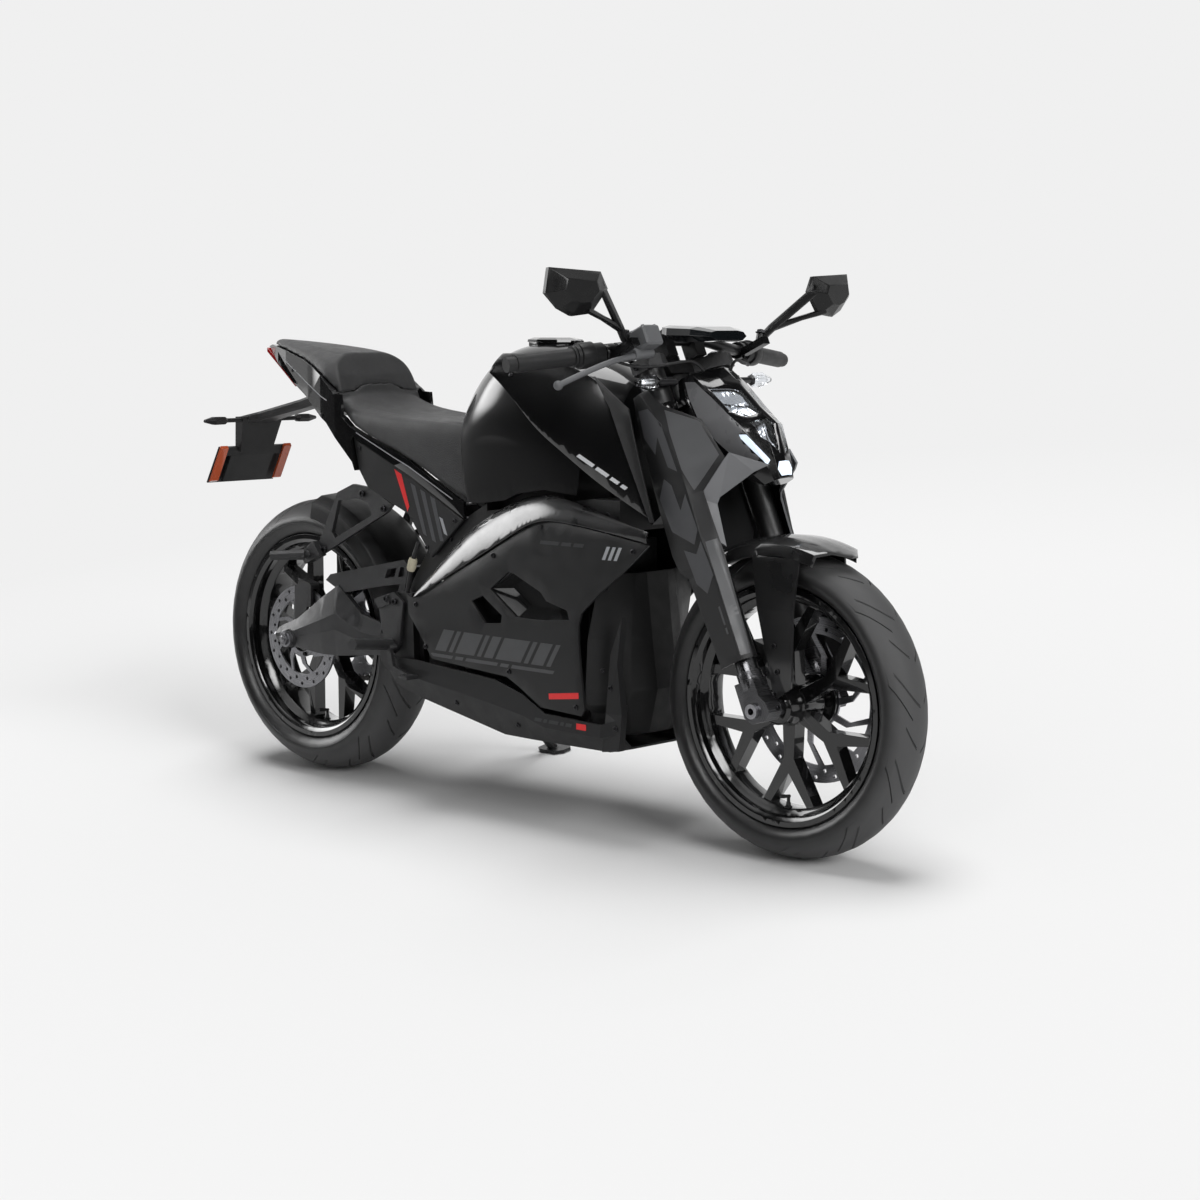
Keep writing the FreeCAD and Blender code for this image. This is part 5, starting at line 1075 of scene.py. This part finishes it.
def chassis_bolts(bolts):
    """Subframe, swing arm, frame and battery bolts, the axle and pivot nuts, plate and cover bolts."""
    bolts.pairs("chassis", DESIGN, spots_at(-117.5, (-420, 641), (-352, 612), (-548, 512)), RIGHT, 7, 5)
    bolts.pairs("chassis", DESIGN, spots_at(-139, (-322, 424), (-296, 420)), RIGHT, 7, 5)
    bolts.pairs("chassis", DESIGN, [PIVOT_NUT], RIGHT, 13, 7, hex_nut, "bolt")
    bolts.pairs("chassis", DESIGN, spots_at(-131, (-250, 430), (-258, 280), (-340, 352)), RIGHT, 6.5, 5)
    bolts.pairs("chassis", DESIGN, spots_at(-114, (300, 634), (-20, 614), (-150, 560)), RIGHT, 6.5, 5)
    bolts.pairs("chassis", DESIGN, [(-721, -110, 309)], BACK, 7, 9, hex_nut, "bolt")
    bolts.pairs("chassis", REAR_WHEEL, [(0, -132.3, 0)], RIGHT, 15, 8, hex_nut, "bolt")
    plate_screws = [(-953.8, y, 706.6) for y in (-58, 58)]
    bolts.add("chassis", DESIGN, plate_screws, (-0.868, 0, 0.496), 4.5, 2.2, finish="bolt")
    bolts.add("chassis", DESIGN, ring_of_spots(52, 99.7, 3, 30, MOTOR_SHAFT), LEFT, 5, 4)


def fork_bolts(bolts):
    """Fork caps, stem nut, clamp and riser bolts, reservoir screws, mirror nuts, guard and caliper bolts."""
    bolts.pairs("steering", FORK, [(0, -LEG_OFFSET, 710)], UP, 11, 5, hex_nut, "bolt")
    bolts.add("steering", FORK, [(-32, 0, 716)], UP, 15, 7, hex_nut, "bolt")
    bolts.pairs("steering", FORK, [(-10, -124.4, 690)], RIGHT, 5.5, 5)
    bolts.pairs("steering", FORK, [(n, -42, 755) for n in (-8, 13)], UP, 5, 4, socket_bolt, "bolt")
    reservoir_screws = [(n, y, 744) for y in (-161, -129) for n in (37, 67)]
    bolts.add("steering", FORK, reservoir_screws, UP, 3, 1.6, finish="bolt")
    bolts.pairs("steering", DESIGN, [(419.4, -198, 984)], (0, -0.28, 0.96), 9, 6, hex_nut)
    bolts.pairs("steering", FORK, [(34, -92, height) for height in (18, -8)], AHEAD, 4.6, 4)
    bolts.pairs("steering", FRONT_WHEEL, spots_at(-83.0, (18, 120), (26, 72)), RIGHT, 5, 3)
    caliper = FRONT_WHEEL @ Matrix.Rotation(math.radians(-66), 4, "Y") @ Matrix.Translation((0, 0, 160))
    bolts.add("steering", caliper, spots_at(94.5, (-28, 4), (28, 4)), LEFT, 6, 4)
    bolts.add("steering", FRONT_WHEEL, spots_at(100, (-104, 58.2), (-62, 47)), LEFT, 6, 5)


def wheel_bolts(bolts):
    """Disc bolts, with low heads in front where the fork slider is near, and the sprocket's nuts."""
    bolts.add("front_wheel", FRONT_WHEEL, ring_of_spots(48, 73, 5), LEFT, 5.5, 0.8)
    bolts.add("rear_wheel", REAR_WHEEL, ring_of_spots(40, -86.5, 5), RIGHT, 5, 4)
    bolts.add("rear_wheel", REAR_WHEEL, ring_of_spots(41, 89, 6, 30), LEFT, 5.5, 5, hex_nut, "bolt")


def all_bolts():
    bolts = Fasteners()
    for group in (cover_screws, chassis_bolts, fork_bolts, wheel_bolts):
        group(bolts)
    bolts.build()


# Drive chain

CHAIN_PITCH, CHAIN_LINE, CHAIN_RIDE = 15.875, 86, 6.5
REAR_TEETH, MOTOR_TEETH = 42, 16
PLATE_RADIUS, PLATE_WAIST, PLATE_HALF = 6.6, 4.6, 0.9
OUTER_REACH, INNER_REACH = 7.4, 5.4


def arc_line(centre, radius, start, end, steps=60):
    angles = [start + (end - start) * i / steps for i in range(steps)]
    return [centre + Vector((math.cos(a), math.sin(a))) * radius for a in angles]


def chain_line():
    """The chain's closed line round both sprockets, in the design frame."""
    rear, motor = Vector((-WHEELBASE / 2, REAR_RADIUS)), Vector(MOTOR_SHAFT)
    big, small = (CHAIN_PITCH / (2 * math.sin(math.pi / teeth)) + CHAIN_RIDE for teeth in (REAR_TEETH, MOTOR_TEETH))
    span = motor - rear
    slope = math.atan2(span.y, span.x)
    spread = math.acos((big - small) / span.length)
    line = arc_line(rear, big, slope + spread, slope + 2 * math.pi - spread)
    line += arc_line(motor, small, slope - spread, slope + spread)
    return line + line[:1]


def pins_along(line):
    """Evenly spaced points on a line, about a pitch apart and even in number."""
    lengths = [(b - a).length for a, b in zip(line, line[1:])]
    total = sum(lengths)
    count = 2 * round(total / CHAIN_PITCH / 2)
    pins, at, index = [], 0.0, 0
    for k in range(count):
        wanted = total * k / count
        while at + lengths[index] < wanted:
            at += lengths[index]
            index += 1
        pins.append(line[index].lerp(line[index + 1], (wanted - at) / lengths[index]))
    return pins


def link_plate(first, second, middle):
    """A waisted side plate between two pins, as a prism across Y."""
    along = (second - first).normalized()
    out = Vector((-along.y, along.x))
    ring = []
    for centre, start, waist in ((second, -math.pi / 2, PLATE_WAIST), (first, math.pi / 2, -PLATE_WAIST)):
        for i in range(7):
            angle = start + math.pi * i / 6
            ring.append(centre + (along * math.cos(angle) + out * math.sin(angle)) * PLATE_RADIUS)
        ring.append((first + second) / 2 + out * waist)
    return side_block(ring, middle - PLATE_HALF, middle + PLATE_HALF)


def drive_chain():
    """Inner and outer links with rollers between them."""
    pins = pins_along(chain_line())
    roller = turned_part([(5.0, -4.4), (5.0, 4.4)], 12)
    rivet = turned_part([(2.4, -8.9), (2.4, 8.9)], 10)
    parts = []
    for i, pin in enumerate(pins):
        reach = INNER_REACH if i % 2 else OUTER_REACH
        for side in SIDES:
            parts.append(link_plate(pin, pins[(i + 1) % len(pins)], CHAIN_LINE + side * reach))
        placed = towards((pin.x, CHAIN_LINE, pin.y), LEFT)
        parts += [moved(roller, placed), moved(rivet, placed)]
    made = mesh_piece("linked_drive_chain", joined(parts), DESIGN, "chassis", "chain")
    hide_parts("drive_chain")


# Leads: listed points in a frame's millimetres

MOTOR_LEAD = ((-236, -124, 548), (-247, -125, 526), (-257, -125, 500), (-266, -124, 472), (-279, -122, 424))
SWITCH_LEAD = ((-12, 200, 718), (8, 184, 690), (38, 146, 670), (66, 96, 668), (78, 52, 668), (74, 30, 634))


def lead(name, points, matrix, body, diameter, with_pieces=()):
    """A rubber lead through points of a frame, whose ends go into the bike."""
    placed = [matrix @ Vector(p) for p in points]
    data = adjusted(bpy.data.curves.new(name, "CURVE"), dimensions="3D", bevel_depth=diameter / 2000,
                    bevel_resolution=4, resolution_u=12, use_fill_caps=True)
    spline = data.splines.new("NURBS")
    spline.points.add(len(placed) - 1)
    for target, point in zip(spline.points, placed):
        target.co = (*point, 1)
    adjusted(spline, order_u=3, use_endpoint_u=True)
    data.materials.append(MATERIALS["rubber"])
    made = new_object(name, data)
    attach(made, body)
    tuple(placed[0])
    return made


def motor_connector():
    """The ivory connector on the motor's lead: a ribbed body with a latch and a collar at each end."""
    body = turned_part([(7.5, 0), (8.5, 1.5), (8.5, 4), (9.8, 5), (9.8, 12), (9.0, 12.6), (9.0, 14.4), (9.8, 15),
                        (9.8, 22), (8.5, 23), (8.5, 27), (7.2, 28.5)], 28)
    latch = outline_block([(8.4, -3.5), (10.9, -2.6), (10.9, 2.6), (8.4, 3.5)], 6, 23)
    matrix = DESIGN @ towards((-252, -125, 514), (-9, 0, -28))
    return mesh_piece("motor_connector", joined([body, latch]), matrix, "chassis", "connector")


def leads():
    motor = lead("motor_lead", MOTOR_LEAD, DESIGN, "chassis", 10, (motor_connector(),))
    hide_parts("wiring_lead")
    for side, word in ((-1, "right"), (1, "left")):
        lead(f"{word}_switch_lead", [(n, side * y, z) for n, y, z in SWITCH_LEAD], FORK, "steering", 6)


def indicator_bulbs():
    """Silvered bulbs in the clear front lamps."""
    bulb = turned_part([(2.2, 0), (3.2, 2), (5.2, 10), (5.2, 26), (3.6, 33), (1.0, 36)], 20)
    pair = joined([moved(bulb, FORK @ towards((38, side * 146, 640), (0, side, 0))) for side in SIDES])
    mesh_piece("indicator_bulbs", pair, Matrix(), "steering", "bulb")


# Camera, lamps and stage

CAMERA_AT = (3403.8, -3432.3, 1005.5)
CAMERA_YAW, CAMERA_PITCH = math.radians(43.31), math.radians(6.73)
CAMERA_LENS = 70.6
BACKDROP = (0.871, 0.871, 0.871, 1)
AMBIENT = 0.24
# In metres: how far the floor goes, and where it fades into the backdrop
FLOOR_REACH = 40
FLOOR_FADE = (1.9, 3.4)
# Sun lamps: where each is, its strength and how wide it is in degrees
SOFT_LAMPS = (
    ("overhead_softbox", (-0.12, 0.2, 1), 2.1, 34),
    ("front_softbox", (0.88, -0.1, 0.48), 1.7, 26),
)
# What gloss sees: direction of each pale shape, its inner and outer half angles in degrees, its level
STUDIO_DARK = 0.012
STUDIO_SHAPES = (
    ((-0.69, 0.72, 0.18), 20, 62, 0.9),
    ((-0.2, -0.35, 1.0), 6, 26, 1.3),
    ((0.62, -0.75, 0.3), 3, 12, 0.7),
    ((0.31, -0.67, 0.67), 3, 16, 13),
    ((-0.875, -0.235, 0.42), 6, 22, 8),
)


def make_camera():
    """The photograph's viewpoint: it looks at the bike's right front from a little above the tank."""
    data = bpy.data.cameras.new("photo_camera")
    camera = new_object("photo_camera", adjusted(data, lens=CAMERA_LENS, sensor_width=36, clip_end=200))
    level = math.cos(CAMERA_PITCH)
    ahead = Vector((-math.sin(CAMERA_YAW) * level, math.cos(CAMERA_YAW) * level, -math.sin(CAMERA_PITCH)))
    right = Vector((math.cos(CAMERA_YAW), math.sin(CAMERA_YAW), 0))
    turn = Matrix((right, right.cross(ahead), -ahead)).transposed().to_4x4()
    placed = DESIGN @ Matrix.Translation(CAMERA_AT) @ turn
    camera.matrix_world = Matrix.Translation(placed.translation) @ placed.to_quaternion().to_matrix().to_4x4()
    bpy.context.scene.camera = camera


def studio_level(nodes, direction):
    """The grey that gloss sees in each direction: dark, with soft pale shapes in it."""
    total = STUDIO_DARK
    for shape, inner, outer, level in STUDIO_SHAPES:
        facing = nodes.dot(direction, Vector(shape).normalized())
        edge, core = (math.cos(math.radians(half)) for half in (outer, inner))
        soft = nodes.ranged(facing, 0, level, edge, core, interpolation_type="SMOOTHSTEP")
        total = nodes.maths("ADD", soft, total)
    return total


def make_world():
    """Pale for the camera and for glass; dim for matt surfaces; for gloss, the studio's soft shapes."""
    world = bpy.data.worlds.new("studio")
    bpy.context.scene.world = world
    world.use_nodes = True
    world.node_tree.nodes.clear()
    nodes = ShaderTree(world.node_tree)
    ray = nodes.outputs("ShaderNodeLightPath")
    way = nodes.outputs("ShaderNodeTexCoord")["Generated"]
    matt_or_gloss = nodes.mixed(ray["Is Glossy Ray"], nodes.background((1, 1, 1, 1), AMBIENT),
                                nodes.background(studio_level(nodes, way)))
    seen = nodes.maths("MAXIMUM", ray["Is Camera Ray"], ray["Is Transmission Ray"])
    out = world.node_tree.nodes.new("ShaderNodeOutputWorld")
    nodes.link(nodes.mixed(seen, matt_or_gloss, nodes.background(BACKDROP)), out.inputs["Surface"])


def make_lamps():
    """A wide soft lamp high above and a little behind the bike, and a weaker one from its front."""
    for name, place, level, width in SOFT_LAMPS:
        data = adjusted(bpy.data.lights.new(name, "SUN"), energy=level, angle=math.radians(width))
        new_object(name, data).rotation_euler = Vector(place).to_track_quat("Z", "Y").to_euler()


def make_floor():
    """A wide pale floor that keeps the bike's shadow and runs into the backdrop further out."""
    corners = [(x * FLOOR_REACH, y * FLOOR_REACH, 0) for x, y in ((-1, -1), (1, -1), (1, 1), (-1, 1))]
    data = bpy.data.meshes.new("studio_floor")
    data.from_pydata(corners, [], [(0, 1, 2, 3)])
    made = Finish("floor_paper", (0.8, 0.8, 0.8), 0.9, Specular_IOR_Level=0.0)
    far = made.output("ShaderNodeEmission", "Emission", {"Color": BACKDROP})
    blend = made.ranged(made.length(made.where), 0, 1, *FLOOR_FADE)
    made.surface(made.mixed(blend, made.shader.outputs["BSDF"], far))
    data.materials.append(made.material)
    new_object("studio_floor", data)


make_camera()
make_world()
make_lamps()
make_floor()
bpy.context.scene.view_settings.view_transform = "Standard"
finish_nodes()
tyres()
valve_stems()
seats()
headlamp_insides()
soften_edges()
linings()
side_graphics()
belly_graphics()
tank_graphics()
subframe_graphics()
tail_graphics()
fork_graphics()
all_bolts()
drive_chain()
leads()
indicator_bulbs()
